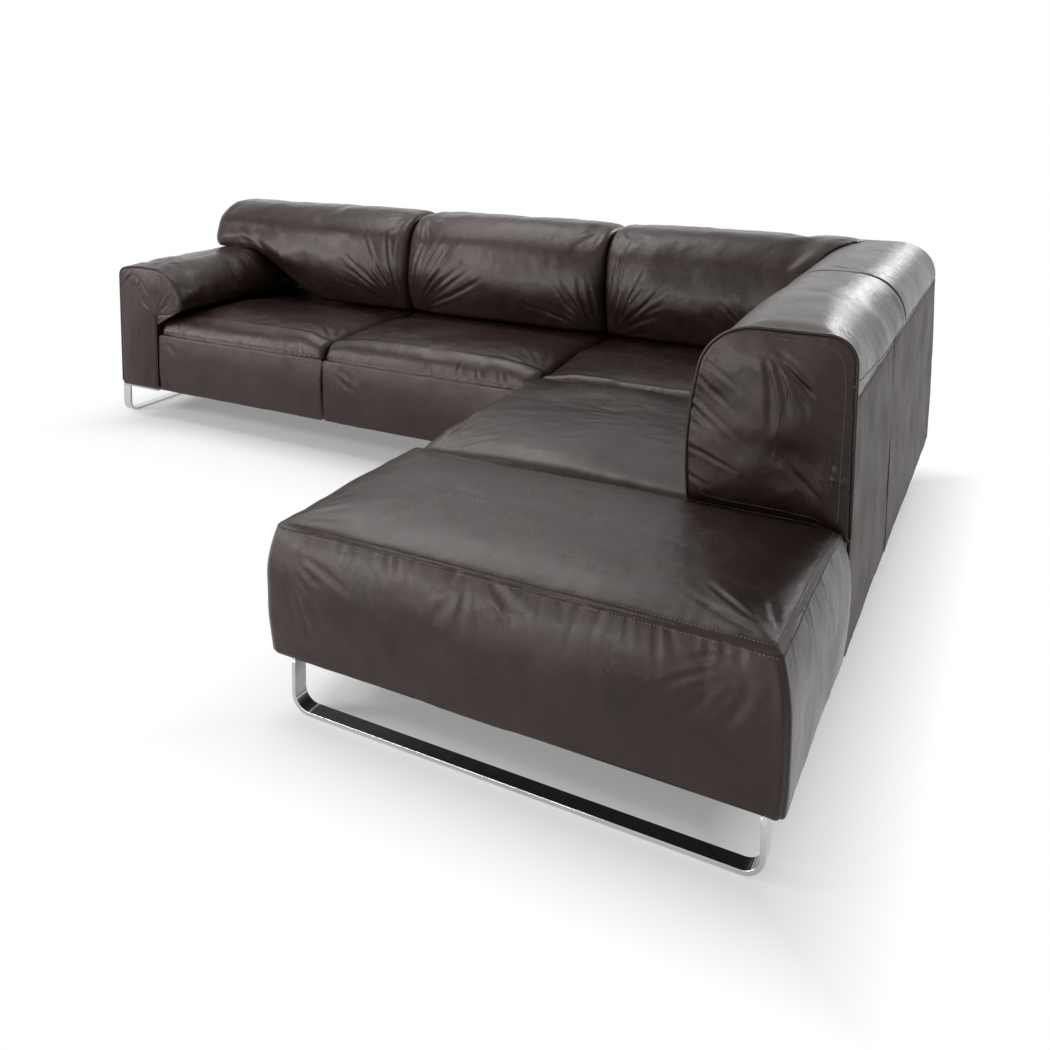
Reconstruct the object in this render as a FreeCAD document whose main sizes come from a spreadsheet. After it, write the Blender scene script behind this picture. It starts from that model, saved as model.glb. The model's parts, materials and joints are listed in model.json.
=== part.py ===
import FreeCAD, Part
import math
import os

import Sketcher

from FreeCAD import Placement, Rotation, Vector

# Corner sofa in leather on flat bar sleds. A long wing with an arm at its left end meets a short
# return wing at the right, which ends at the front in an ottoman without a back.
# Millimetres. +X runs along the long wing to the right, -Y is the way a sitter on it faces, +Z is up.
# The origin is on the floor, under the middle of the whole sofa.

os.makedirs("parts", exist_ok=True)
doc = FreeCAD.newDocument("corner_sofa")

DRIVING_SIZES = {
    # Plan, measured from the outer right and rear faces
    "arm_width": 215,
    "seat_1_width": 857,
    "seat_2_width": 900,
    "corner_width": 1140,
    "wing_depth": 960,
    "arm_depth": 976,
    "ottoman_length": 625,
    "seat_4_length": 801,
    "cap_length": 883,
    "side_panel_split": 1135,
    "module_gap": 3,
    # Heights
    "underside_height": 126,
    "frame_lift": 6,
    "rail_height": 116,
    "seat_flat_height": 437,
    "seat_crown_rise": 21,
    "corner_crown_rise": 12,
    "front_seam_drop": 92,
    "corner_seam_drop": 49,
    "ottoman_seam_drop": 34,
    "back_rest_gap": 3,
    "back_height": 860,
    "roll_radius": 128,
    "roll_upright": 12,
    "end_roll_radius": 60,
    "roll_taper_length": 560,
    # Seats
    "back_clearance": 75,
    "flat_reach": 395,
    "front_roll": 78,
    "front_bulge": 9,
    "seat_edge_dip": 12,
    "seat_end_drop": 26,
    "seat_end_inset": 9,
    # Backs
    "top_reach": 212,
    "shoulder_reach": 363,
    "shoulder_drop": 125,
    "belly_reach": 386,
    "belly_drop": 260,
    "wing_foot_reach": 338,
    "return_foot_reach": 378,
    "back_draw": 42,
    "back_end_drop": 9,
    "corner_back_end": 300,
    "frame_depth": 66,
    "end_panel_depth": 20,
    "end_panel_lift": 3,
    # Arm
    "arm_drop": 215,
    "arm_crown": 8,
    "arm_edge_width": 30,
    "arm_roll_reach": 356,
    "arm_roll_shoulder": 44,
    "arm_roll_return": 38,
    "arm_tuck_rise": 8,
    "arm_inner_rise": 13,
    "arm_corner_radius": 36,
    "arm_rest_gap": 3,
    "arm_padding": 47,
    # Leather, filling and boards
    "cover_thickness": 6,
    "front_panel_thickness": 10,
    "panel_thickness": 6,
    "piece_gap": 0.3,
    "board_thickness": 28,
    "ply_thickness": 18,
    "strap_width": 60,
    "strap_thickness": 2,
    "strap_pitch": 120,
    "strap_margin": 40,
    "strap_clearance": 1,
    "back_strap_lift": 60,
    "deck_clearance": 2,
    # Sleds, feet and fixings
    "bar_width": 40,
    "bar_thickness": 10,
    "sled_bend_radius": 45,
    "sled_end_inset": 27,
    "sled_far_inset": 66,
    "corner_sled_setback": 204,
    "arm_sled_front_inset": 12,
    "arm_sled_rear_inset": 190,
    "glide_thickness": 2,
    "glide_length": 90,
    "glide_width": 24,
    "plate_thickness": 6,
    "plate_length": 110,
    "plate_width": 64,
    "arm_plate_length": 196,
    "foot_radius": 22,
    "foot_pad_height": 10,
    "foot_inset": 230,
    "screw_radius": 3,
    "screw_head_radius": 6,
    "screw_head_height": 3,
    "screw_length": 38,
    "screw_spacing": 60,
    "latch_thickness": 8,
    "latch_length": 80,
}

# Heights that follow from the ones above, so that touching pieces move together
DERIVED_SIZES = {
    "seat_crown_height": "seat_flat_height + seat_crown_rise",
    "corner_crown_height": "seat_flat_height + corner_crown_rise",
    "front_seam_height": "seat_crown_height - front_seam_drop",
    "corner_seam_height": "corner_crown_height - corner_seam_drop",
    "ottoman_seam_height": "seat_crown_height - ottoman_seam_drop",
    "back_foot_height": "seat_flat_height + back_rest_gap",
    "roll_start_height": "back_height - roll_radius",
    "roll_seam_height": "roll_start_height - roll_upright",
    "shoulder_height": "back_height - shoulder_drop",
    "belly_height": "back_height - belly_drop",
    "arm_top_height": "back_height - arm_drop",
    "arm_tuck_height": "seat_crown_height + arm_tuck_rise",
    "arm_inner_height": "seat_flat_height + arm_inner_rise",
}

# Shape factors. Each one is a share of the size that stands beside it.
ARC_SAG = 1 - math.sqrt(0.5)
WALL_FOLLOWS = 0.5
FLAT_FOLLOWS = 0.25
ROLL_FULLNESS = 0.4
CORNER_ROLL = 0.5
OTTOMAN_FOLLOWS = 0.4
OTTOMAN_SIDE_FULL = 0.6
OTTOMAN_SIDE_LOSS = 0.5
OTTOMAN_EDGE = 0.4
OTTOMAN_EDGE_BEND = 0.35
BELLY_FOOT_FOLLOWS = 0.8
TOP_FOLLOWS = 0.2
SHOULDER_FOLLOWS = 0.7
SHOULDER_DROPS = 0.3
SHOULDER_BEND = (0.68, 0.27)
BELLY_LEAST = 4
ARM_ROLL_SHARE = 0.285
ARM_SHOULDER_SHARE = 0.6875
CROWN_LEFT = 0.75
ARM_FRONT_DOME = ((0.7, 3), (1.0, 16))
END_PANEL_DOME = ((0.0, 0.2), (0.6, 0.45), (1.0, 1.3))
END_PANEL_DRAW = 0.3
FOOT_POST_SHARE = 0.6
BACK_STRAP_ROWS = 3

sizes = doc.addObject("Spreadsheet::Sheet", "sizes")
rows = [(alias, str(number)) for alias, number in DRIVING_SIZES.items()]
rows += [(alias, "=" + formula) for alias, formula in DERIVED_SIZES.items()]
for row, (alias, content) in enumerate(rows, start=1):
    sizes.set(f"A{row}", content)
    sizes.setAlias(f"A{row}", alias)
doc.recompute()


def size(alias):
    return float(getattr(sizes, alias))


# Places that several pieces share, as expressions on the sheet
RIGHT = "((sizes.corner_width + sizes.seat_2_width + sizes.seat_1_width + sizes.arm_width) / 2)"
REAR = "((sizes.wing_depth + sizes.seat_4_length + sizes.ottoman_length) / 2)"
FRAME_INSET = "(sizes.panel_thickness + sizes.piece_gap)"
RAIL_BOTTOM = "(sizes.underside_height + sizes.frame_lift)"
RAIL_TOP = f"({RAIL_BOTTOM} + sizes.rail_height)"
SPLIT_23 = "sizes.corner_width"
SPLIT_12 = "(sizes.corner_width + sizes.seat_2_width)"
ARM_SIDE = "(sizes.corner_width + sizes.seat_2_width + sizes.seat_1_width)"
LEFT_SIDE = f"({ARM_SIDE} + sizes.arm_width)"
FRONT_SIDE = "(sizes.wing_depth + sizes.seat_4_length + sizes.ottoman_length)"
SEAT_4_SIDE = "(sizes.wing_depth + sizes.seat_4_length)"
FRONT_BOARD = "(sizes.wing_depth - sizes.front_panel_thickness - sizes.piece_gap)"

# The same places as numbers, for the lofted pieces
HALF_LENGTH = (size("corner_width") + size("seat_2_width") + size("seat_1_width") + size("arm_width")) / 2
HALF_DEPTH = (size("wing_depth") + size("seat_4_length") + size("ottoman_length")) / 2
WING_SPLIT_23 = size("corner_width")
WING_SPLIT_12 = WING_SPLIT_23 + size("seat_2_width")
WING_ARM_SIDE = WING_SPLIT_12 + size("seat_1_width")
WING_LEFT = WING_ARM_SIDE + size("arm_width")
RETURN_SEAT_4 = size("ottoman_length")
RETURN_CORNER = RETURN_SEAT_4 + size("seat_4_length")
RETURN_CAP = 2 * HALF_DEPTH - size("cap_length")
RETURN_REAR = 2 * HALF_DEPTH
GAP = size("piece_gap")
COVER = size("cover_thickness")
FILLING_BOTTOM = (
    size("underside_height") + size("frame_lift") + size("rail_height") + 2 * size("strap_thickness")
)

# A wing's own frame: first number along the wing, second number inwards from its outer face.
# Along the long wing the count starts at the right, along the return it starts at the front.
LONG_WING = Placement(Vector(HALF_LENGTH, HALF_DEPTH, 0), Rotation(Vector(0, 0, 1), 180))
RETURN_WING = Placement(Vector(HALF_LENGTH, -HALF_DEPTH, 0), Rotation(Vector(0, 0, 1), 90))

pieces = []


def keep(item, label):
    """Names a sub-part and marks it as one that is written out."""
    item.Label = label
    pieces.append(item)
    return item


def shaped(label, shape, placement=Placement()):
    """A sub-part from a ready shape, for lofted forms."""
    item = doc.addObject("Part::Feature", label)
    item.Shape = shape
    item.Placement = placement
    return keep(item, label)


def box(name, from_right, from_rear, bottom, length, width, height):
    """A bound box whose right and rear faces stand at distances from the sofa's outer faces."""
    item = doc.addObject("Part::Box", name)
    item.setExpression("Length", length)
    item.setExpression("Width", width)
    item.setExpression("Height", height)
    item.setExpression("Placement.Base.x", f"{RIGHT} - {from_right} - {length}")
    item.setExpression("Placement.Base.y", f"{REAR} - {from_rear} - {width}")
    item.setExpression("Placement.Base.z", bottom)
    return item


def group(label, members):
    item = doc.addObject("Part::Compound", label)
    item.Links = members
    return keep(item, label)


def drilled(label, members, drills):
    """Members as one group of solids with every drill taken out of them."""
    base = doc.addObject("Part::Compound", label + "_blank")
    base.Links = members
    tools = doc.addObject("Part::Compound", label + "_drills")
    tools.Links = drills
    item = doc.addObject("Part::Cut", label)
    item.Base = base
    item.Tool = tools
    return keep(item, label)


def upright_cylinder(name, radius, from_right, from_rear, bottom, height):
    item = doc.addObject("Part::Cylinder", name)
    item.setExpression("Radius", radius)
    item.setExpression("Height", height)
    item.setExpression("Placement.Base.x", f"{RIGHT} - {from_right}")
    item.setExpression("Placement.Base.y", f"{REAR} - {from_rear}")
    item.setExpression("Placement.Base.z", bottom)
    return item


# Lofts

def closed_wire(along, edges):
    """A closed outline across a wing. Each edge is its end points, with a middle point for an arc."""
    parts = []
    for edge in edges:
        points = [Vector(along, inwards, height) for inwards, height in edge]
        if len(points) == 3:
            parts.append(Part.Arc(*points).toShape())
        else:
            parts.append(Part.LineSegment(*points).toShape())
    return Part.Wire(parts)


def fullness_loss(along, low, high):
    """0 in the middle of a cushion, 1 at both ends, flat for most of its length."""
    middle = (low + high) / 2
    return (2 * abs(along - middle) / (high - low)) ** 4


LOFT_STEPS = (0, 0.06, 0.16, 0.3, 0.5, 0.7, 0.84, 0.94, 1)


def loft_between(low, high, outline):
    sections = [outline(low + step * (high - low)) for step in LOFT_STEPS]
    return Part.makeLoft(sections, True, False)


# Seats

def seat_outline(along, ends, front, crown, inset, opened, seam, step, roll):
    """Outline of a seat cushion: flat under the back, crowned, rolled over at the front seam."""
    loss = fullness_loss(along, *ends)
    drop = size("seat_end_drop") * loss
    face = front - size("seat_end_inset") * loss - inset
    flat = size("seat_flat_height") - inset
    rear = size("back_clearance") - opened
    base = FILLING_BOTTOM - opened
    wall = front - step - size("seat_end_inset") * loss * WALL_FOLLOWS - inset
    ledge = seam + (inset if step > 0 else 0)
    top = crown - size("seat_edge_dip") - drop - inset
    peak = max(crown - drop - inset, flat - drop)
    roll_top = (face - roll, top)
    roll_middle = (
        face - roll * ARC_SAG + size("front_bulge") * ROLL_FULLNESS,
        top - (top - ledge) * ARC_SAG,
    )
    middle = (front + size("flat_reach")) / 2
    flat_end = (size("flat_reach"), flat - drop * FLAT_FOLLOWS)
    return closed_wire(along, [
        ((rear, base), (wall, base)),
        ((wall, base), (wall, ledge)),
        ((wall, ledge), (face, ledge)),
        ((face, ledge), roll_middle, roll_top),
        (roll_top, (middle, peak), flat_end),
        (flat_end, (rear, flat_end[1])),
        ((rear, flat_end[1]), (rear, base)),
    ])


def seat_solid(low, high, front, crown, seam, step, roll, inset=0.0, opened=0.0):
    def outline(along):
        return seat_outline(along, (low, high), front, crown, inset, opened, seam, step, roll)

    return loft_between(low + inset, high - inset, outline)


def seat_pair(number, low, high, front, placement, crown, seam, step, roll):
    """A seat's leather cover, open below and behind, and the foam that fills it."""
    kind = (low, high, front, crown, seam, step, roll)
    cover = seat_solid(*kind).cut(seat_solid(*kind, inset=COVER, opened=COVER))
    shaped(f"seat_cover_{number}", cover, placement)
    shaped(f"seat_foam_{number}", seat_solid(*kind, inset=COVER + GAP), placement)


def make_seats():
    seam = size("front_seam_height")
    step = size("front_panel_thickness") + GAP
    roll = size("front_roll")
    crown = size("seat_crown_height")
    gap = size("module_gap")
    front = size("wing_depth")
    seat_pair(1, WING_SPLIT_12 + gap / 2, WING_ARM_SIDE - GAP, front, LONG_WING, crown, seam, step, roll)
    seat_pair(2, WING_SPLIT_23 + gap / 2, WING_SPLIT_12 - gap / 2, front, LONG_WING, crown, seam, step, roll)
    inner_front = size("wing_depth") - gap
    seat_pair(
        3, size("flat_reach") + gap, WING_SPLIT_23 - gap / 2, inner_front, LONG_WING,
        size("corner_crown_height"), size("corner_seam_height"), step, roll * CORNER_ROLL,
    )
    seat_pair(
        4, RETURN_SEAT_4 + gap / 2, RETURN_CORNER - gap / 2, size("corner_width"), RETURN_WING,
        crown, seam, step, roll,
    )


def ottoman_outline(along, ends, inset, opened, bottom):
    """Outline of the ottoman across the return: upright leather sides under a seamed, crowned top."""
    low, high = ends
    loss = fullness_loss(along, low, high)
    drop = size("seat_end_drop") * loss
    outer = inset
    left = size("corner_width") - inset
    seam = size("ottoman_seam_height") - drop * OTTOMAN_FOLLOWS
    side_bulge = size("front_bulge") * (OTTOMAN_SIDE_FULL - OTTOMAN_SIDE_LOSS * loss)
    peak = size("seat_crown_height") - drop - inset
    shoulder = (seam + peak) / 2 + size("front_bulge") * ROLL_FULLNESS
    edge = size("front_roll") * OTTOMAN_EDGE
    bend = edge * OTTOMAN_EDGE_BEND
    edge_height = peak - size("seat_edge_dip") * ROLL_FULLNESS
    base = bottom - opened
    middle_height = (base + seam) / 2
    return closed_wire(along, [
        ((outer, base), (left, base)),
        ((left, base), (left + side_bulge, middle_height), (left, seam)),
        ((left, seam), (left - bend, shoulder), (left - edge, edge_height)),
        ((left - edge, edge_height), ((outer + left) / 2, peak + GAP), (outer + edge, edge_height)),
        ((outer + edge, edge_height), (outer + bend, shoulder), (outer, seam)),
        ((outer, seam), (outer, base)),
    ])


def ottoman_solid(inset=0.0, opened=0.0):
    low = 0.0
    high = RETURN_SEAT_4 - size("module_gap") / 2
    base = size("underside_height")

    def outline(along):
        return ottoman_outline(along, (low, high), inset, opened, base)

    return loft_between(low + inset, high - inset, outline)


def make_ottoman():
    """Its cover reaches down over the rails, and is open to seat 4 only below the filling."""
    far = RETURN_SEAT_4
    width = size("corner_width")
    below = FILLING_BOTTOM - size("strap_thickness")
    way_through = Part.makeBox(3 * COVER, width - 2 * COVER, below, Vector(far - 2 * COVER, COVER, 0))
    cover = ottoman_solid().cut(ottoman_solid(inset=COVER, opened=COVER)).cut(way_through)
    shaped("ottoman_cover", cover, RETURN_WING)
    room = Part.makeBox(far, width, 2 * FILLING_BOTTOM, Vector(0, 0, FILLING_BOTTOM))
    shaped("ottoman_foam", ottoman_solid(inset=COVER + GAP).common(room), RETURN_WING)


# Backs

def roll_edges(inset, seam, start, radius):
    """The outer quarter of a rolled back: a short upright above the seam, then the roll."""
    bend = math.sqrt(0.5) * (radius - inset)
    return [
        ((inset, seam), (inset, start)),
        ((inset, start), (radius - bend, start + bend), (radius, start + radius - inset)),
    ]


def belly_point(height, foot_reach, draw, inset):
    """How far the belly stands out at a height between the back's foot and its fullest line."""
    low = size("back_foot_height")
    full = size("belly_reach") - draw - inset
    rise = min((height - low) / (size("belly_height") - low), 1.0)
    return full - (full - foot_reach + draw * BELLY_FOOT_FOLLOWS + inset) * (1 - rise) ** 2


def back_outline(along, loss, foot_reach, foot_height, inset, opened, whole=False, tighter=0.0):
    """Outline of a rolled back: over the frame at the top, bellied in front, resting on the seat.

    whole closes it straight down the outer face, with no room left for the frame. tighter is how much
    smaller its outer roll is than usual.
    """
    seam = size("roll_seam_height") - opened
    start = size("roll_start_height") + tighter
    frame = size("frame_depth") - opened
    draw = size("back_draw") * loss
    top = size("back_height") - size("back_end_drop") * loss
    foot = foot_height + inset
    roll = roll_edges(inset, foot if whole else seam, start, top - start)
    inner_top = (size("top_reach") - draw * TOP_FOLLOWS, top - inset)
    shoulder = (
        size("shoulder_reach") - draw * SHOULDER_FOLLOWS - inset,
        size("shoulder_height") - draw * SHOULDER_DROPS,
    )
    inner_middle = (
        inner_top[0] + (shoulder[0] - inner_top[0]) * SHOULDER_BEND[0],
        inner_top[1] - (inner_top[1] - shoulder[1]) * SHOULDER_BEND[1],
    )
    foot_point = (belly_point(foot, foot_reach, draw, inset), foot)
    middle_height = (shoulder[1] + foot) / 2
    straight = (shoulder[0] + foot_point[0]) / 2
    belly = belly_point(middle_height, foot_reach, draw, inset)
    middle = (max(belly, straight + BELLY_LEAST), middle_height)
    edges = roll + [
        (roll[-1][-1], inner_top),
        (inner_top, inner_middle, shoulder),
        (shoulder, middle, foot_point),
    ]
    if whole:
        edges.append((foot_point, (inset, foot)))
    else:
        edges += [
            (foot_point, (frame, foot)),
            ((frame, foot), (frame, seam)),
            ((frame, seam), (inset, seam)),
        ]
    return closed_wire(along, edges)


def level_foot(along):
    return size("back_foot_height")


def even_roll(along):
    return 0.0


def tight_front_roll(along):
    """The return's roll is small at its front end and grows to the usual size further back."""
    share = min(max((along - RETURN_SEAT_4) / size("roll_taper_length"), 0.0), 1.0)
    return (size("roll_radius") - size("end_roll_radius")) * (1 - share) ** 2


def arm_foot(along):
    """Foot of the left back: over the arm at its end, then down in a slope to the seat."""
    over_arm = size("arm_top_height") + size("arm_crown") + size("arm_rest_gap")
    slope_start = WING_LEFT - size("arm_width")
    slope_end = slope_start - size("arm_roll_reach") - size("shoulder_reach") * SHOULDER_DROPS
    share = min(max((slope_start - along) / (slope_start - slope_end), 0.0), 1.0)
    ease = share * share * (3 - 2 * share)
    return over_arm + (size("back_foot_height") - over_arm) * ease


def back_solid(low, high, foot_reach, foot=level_foot, ends=(1.0, 1.0), roll=even_roll, inset=0.0, opened=0.0):
    """A rolled back between two places along its wing. ends says how far each end is drawn in."""
    def outline(along):
        loss = fullness_loss(along, low, high)
        loss *= ends[0] if along < (low + high) / 2 else ends[1]
        return back_outline(along, loss, foot_reach, foot(along), inset, opened, tighter=roll(along))

    return loft_between(low + inset, high - inset, outline)


def hip_solid(inset):
    """What the rear roll leaves of the corner cap, so that both rolls meet at a mitred hip."""
    start = size("roll_start_height")
    top = size("back_height")
    frame = size("frame_depth")
    far = 2 * size("cap_length")
    seam = size("roll_seam_height")
    radius = top - start
    roll = roll_edges(inset, seam, start, radius)
    rise = (roll[-1][-1], (far, top + size("roll_radius")))
    outline = closed_wire(0.0, roll + [
        rise,
        (rise[1], (far, 0.0)),
        ((far, 0.0), (frame, 0.0)),
        ((frame, 0.0), (frame, seam)),
        ((frame, seam), (inset, seam)),
    ])
    return Part.Face(outline).extrude(Vector(size("belly_reach") * 2, 0, 0))


def cap_solid(inset=0.0, opened=0.0, clear_end=0.0):
    """The corner cap: the return's roll carried on to the rear, cut to a hip there."""
    low = RETURN_CAP + size("module_gap") - clear_end + inset

    def outline(along):
        return back_outline(
            along, 0.0, size("return_foot_reach"), size("back_foot_height"), inset, opened
        )

    sections = [outline(low), outline(RETURN_REAR + COVER)]
    run = Part.makeLoft(sections, True, True)
    run.Placement = RETURN_WING
    hip = hip_solid(inset)
    hip.Placement = LONG_WING
    return run.common(hip)


def back_3_solid(inset=0.0, opened=0.0):
    """The corner seat's back, cut to butt against the cap's inner face."""
    low = size("corner_back_end")
    high = WING_SPLIT_23 - size("module_gap") / 2
    whole = back_solid(
        low, high, size("wing_foot_reach"), ends=(0.0, 1.0), inset=inset, opened=opened
    )
    whole.Placement = LONG_WING
    return whole.cut(cap_solid(inset=-(GAP + inset), opened=0.0, clear_end=COVER))


def back_pair(name, placement, kind):
    cover = back_solid(**kind).cut(back_solid(**kind, inset=COVER, opened=COVER))
    shaped(f"{name}_cover", cover, placement)
    shaped(f"{name}_foam", back_solid(**kind, inset=COVER + GAP), placement)


def make_backs():
    gap = size("module_gap") / 2
    wing_foot = size("wing_foot_reach")
    back_pair("back_1", LONG_WING, {
        "low": WING_SPLIT_12 + gap, "high": WING_LEFT, "foot_reach": wing_foot,
        "foot": arm_foot, "ends": (1.0, 0.15),
    })
    back_pair("back_2", LONG_WING, {
        "low": WING_SPLIT_23 + gap, "high": WING_SPLIT_12 - gap, "foot_reach": wing_foot,
    })
    shaped("back_3_cover", back_3_solid().cut(back_3_solid(inset=COVER, opened=COVER)))
    shaped("back_3_foam", back_3_solid(inset=COVER + GAP))
    back_pair("return_back", RETURN_WING, {
        "low": RETURN_SEAT_4 + gap, "high": RETURN_CAP, "foot_reach": size("return_foot_reach"),
        "ends": (END_PANEL_DRAW, 0.0), "roll": tight_front_roll,
    })
    shaped("corner_cap_cover", cap_solid().cut(cap_solid(inset=COVER, opened=COVER)))
    shaped("corner_cap_foam", cap_solid(inset=COVER + GAP))


def make_return_end_panel():
    """The gathered leather panel that closes the return back's front end, domed to the front."""
    seat = RETURN_SEAT_4 + size("module_gap") / 2 - GAP
    foot = size("back_foot_height") + size("end_panel_lift")
    depth = size("end_panel_depth")
    reach = size("return_foot_reach")
    tighter = tight_front_roll(seat)
    sections = [
        back_outline(seat - depth * forward, END_PANEL_DRAW, reach, foot, depth * inset, 0.0, True, tighter)
        for forward, inset in END_PANEL_DOME
    ]
    shaped("return_end_panel", Part.makeLoft(sections, True, False), RETURN_WING)


# Arm

def arm_outline(inset, back):
    """The arm across its length: upright outer face, full top, roll over the seat with a tuck."""
    radius = size("arm_corner_radius")
    top = size("arm_top_height")
    crown = size("arm_crown")
    reach = size("arm_roll_reach") - inset
    roll = size("arm_tuck_height") + ARM_ROLL_SHARE * (top - size("arm_tuck_height"))
    tuck = size("arm_tuck_height") + inset
    inner = size("arm_width") - inset
    base = size("underside_height") - (COVER if back else 0.0)
    lap = FILLING_BOTTOM - (COVER if back else 0.0)
    step = COVER / 2 if back else COVER * 2
    left = inset
    corner_low = (left, top - radius)
    corner_middle = (left + radius * ARC_SAG, top - inset - radius * ARC_SAG)
    corner_high = (left + radius, top - inset)
    top_middle = (size("arm_width") / 2, top + crown - inset)
    top_end = (size("arm_width") - size("arm_edge_width"), top + crown * CROWN_LEFT - inset)
    shoulder_height = roll + (top - roll) * ARM_SHOULDER_SHARE - inset * ROLL_FULLNESS
    shoulder = (reach - size("arm_roll_shoulder"), shoulder_height)
    under = (reach - size("arm_crown"), (roll + tuck) / 2 - size("arm_crown") * CROWN_LEFT)
    tuck_end = (reach - size("arm_roll_return"), tuck)
    return [
        ((left, base), corner_low),
        (corner_low, corner_middle, corner_high),
        (corner_high, top_middle, top_end),
        (top_end, shoulder, (reach, roll)),
        ((reach, roll), under, tuck_end),
        (tuck_end, (inner, size("arm_inner_height") + inset)),
        ((inner, size("arm_inner_height") + inset), (inner, lap)),
        ((inner, lap), (inner - step, lap)),
        ((inner - step, lap), (inner - step, base)),
        ((inner - step, base), (left, base)),
    ]


def arm_wire(from_rear, inset, back=False):
    """Outline edges stand in an upright plane at a distance from the rear face."""
    left = -HALF_LENGTH
    edges = []
    for edge in arm_outline(inset, back):
        points = [Vector(left + inwards, HALF_DEPTH - from_rear, height) for inwards, height in edge]
        if len(points) == 3:
            edges.append(Part.Arc(*points).toShape())
        else:
            edges.append(Part.LineSegment(*points).toShape())
    return Part.Wire(edges)


def arm_run(start, stop, inset, back=False):
    return Part.makeLoft([arm_wire(start, inset, back), arm_wire(stop, inset, back)], True, True)


def make_arm():
    front = size("arm_depth") - size("front_panel_thickness")
    rear = size("frame_depth") + GAP
    cover = arm_run(rear, front, 0.0).cut(arm_run(rear - 1, front + 1, COVER, back=True))
    shaped("arm_cover", cover)
    thick = size("front_panel_thickness")
    dome = [arm_wire(front + thick * forward, COVER + drawn) for forward, drawn in ARM_FRONT_DOME]
    shaped("arm_front_panel", Part.makeLoft([arm_wire(front + GAP, COVER)] + dome, True, False))
    filling = arm_run(rear + GAP, front - GAP, COVER + GAP)
    frame_top = size("arm_top_height") - size("arm_padding")
    start = Vector(-HALF_LENGTH, -HALF_DEPTH, 0)
    past_frame = size("arm_width") + COVER
    over_frame = Part.makeBox(past_frame, RETURN_REAR, frame_top + GAP, start)
    under_tuck = size("arm_inner_height") - 2 * size("seat_edge_dip")
    beside_seat = Part.makeBox(RETURN_REAR, RETURN_REAR, under_tuck, start)
    shaped("arm_foam", filling.cut(over_frame).cut(beside_seat))


def make_arm_frame():
    """Two boards and a top rail inside the arm."""
    from_rear = "sizes.frame_depth"
    length = "(sizes.arm_depth - sizes.front_panel_thickness - sizes.frame_depth - sizes.piece_gap)"
    skin = "(sizes.cover_thickness + sizes.piece_gap)"
    rail_bottom = "(sizes.arm_top_height - sizes.arm_padding - sizes.ply_thickness)"
    outer_from_right = f"({LEFT_SIDE} - {skin} - sizes.ply_thickness)"
    inner_from_right = f"({ARM_SIDE} + {skin})"
    rail_length = "(sizes.arm_width - 2 * sizes.cover_thickness - 2 * sizes.piece_gap)"
    top = f"({rail_bottom} - {RAIL_BOTTOM})"
    group("arm_frame", [
        box("arm_outer_board", outer_from_right, from_rear, RAIL_BOTTOM, "sizes.ply_thickness", length, top),
        box("arm_inner_board", inner_from_right, from_rear, RAIL_BOTTOM, "sizes.ply_thickness", length, top),
        box("arm_top_rail", inner_from_right, from_rear, rail_bottom, rail_length, length, "sizes.ply_thickness"),
    ])


# Outer leather panels

def make_panels():
    thin = "sizes.panel_thickness"
    thick = "sizes.front_panel_thickness"
    base = "sizes.underside_height"
    gap = "sizes.module_gap"
    low_height = "(sizes.roll_seam_height - sizes.underside_height)"
    apron_height = "(sizes.front_seam_height - sizes.underside_height - sizes.piece_gap)"
    apron_rear = "(sizes.wing_depth - sizes.front_panel_thickness)"
    keep(box("seat_front_1", f"({SPLIT_12} + {gap} / 2)", apron_rear, base,
             f"(sizes.seat_1_width - {gap})", thick, apron_height), "seat_front_1")
    keep(box("seat_front_2", f"({SPLIT_23} + {gap} / 2)", apron_rear, base,
             f"(sizes.seat_2_width - {gap})", thick, apron_height), "seat_front_2")
    keep(box("seat_front_4", "(sizes.corner_width - sizes.front_panel_thickness)",
             f"(sizes.wing_depth + {gap} / 2)", base, thick,
             f"({SEAT_4_SIDE} - sizes.wing_depth - {gap})", apron_height), "seat_front_4")
    side_split = "sizes.side_panel_split"
    keep(box("right_panel_rear", "0", "0", base, thin,
             f"({side_split} - {gap} / 2)", low_height), "right_panel_rear")
    keep(box("right_panel_front", "0", f"({side_split} + {gap} / 2)", base, thin,
             f"({SEAT_4_SIDE} - {side_split} - {gap})", low_height), "right_panel_front")
    keep(box("rear_panel_corner", FRAME_INSET, "0", base,
             f"({SPLIT_23} - {FRAME_INSET} - {gap} / 2)", thin, low_height),
         "rear_panel_corner")
    keep(box("rear_panel_wing", f"({SPLIT_23} + {gap} / 2)", "0", base,
             f"({LEFT_SIDE} - {SPLIT_23} - {gap} / 2)", thin, low_height), "rear_panel_wing")
    keep(box("left_end_panel", f"({LEFT_SIDE} - {thin})", FRAME_INSET, base, thin,
             f"(sizes.frame_depth - {FRAME_INSET})", low_height), "left_end_panel")


# Wooden frame

BOARD = "sizes.board_thickness"
RAIL = "sizes.rail_height"
WING_RAIL_LOW = f"({SPLIT_23} + sizes.module_gap / 2 + sizes.latch_thickness)"
WING_RAIL_HIGH = f"({LEFT_SIDE} - sizes.cover_thickness - sizes.piece_gap)"
CHAISE_LEFT = "(sizes.corner_width - sizes.front_panel_thickness - sizes.piece_gap)"
CHAISE_FRONT = f"({FRONT_SIDE} - sizes.cover_thickness - sizes.piece_gap)"
ARM_BOARD_SIDE = f"({ARM_SIDE} + sizes.cover_thickness + sizes.piece_gap)"


def wing_rail_x(name, from_rear):
    low = f"({WING_RAIL_LOW} + {BOARD})"
    return box(name, low, from_rear, RAIL_BOTTOM, f"({ARM_BOARD_SIDE} - {BOARD} - {low})", BOARD, RAIL)


def wing_rail_y(name, from_right):
    depth = f"({FRONT_BOARD} - {FRAME_INSET})"
    return box(name, from_right, FRAME_INSET, RAIL_BOTTOM, BOARD, depth, RAIL)


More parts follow.
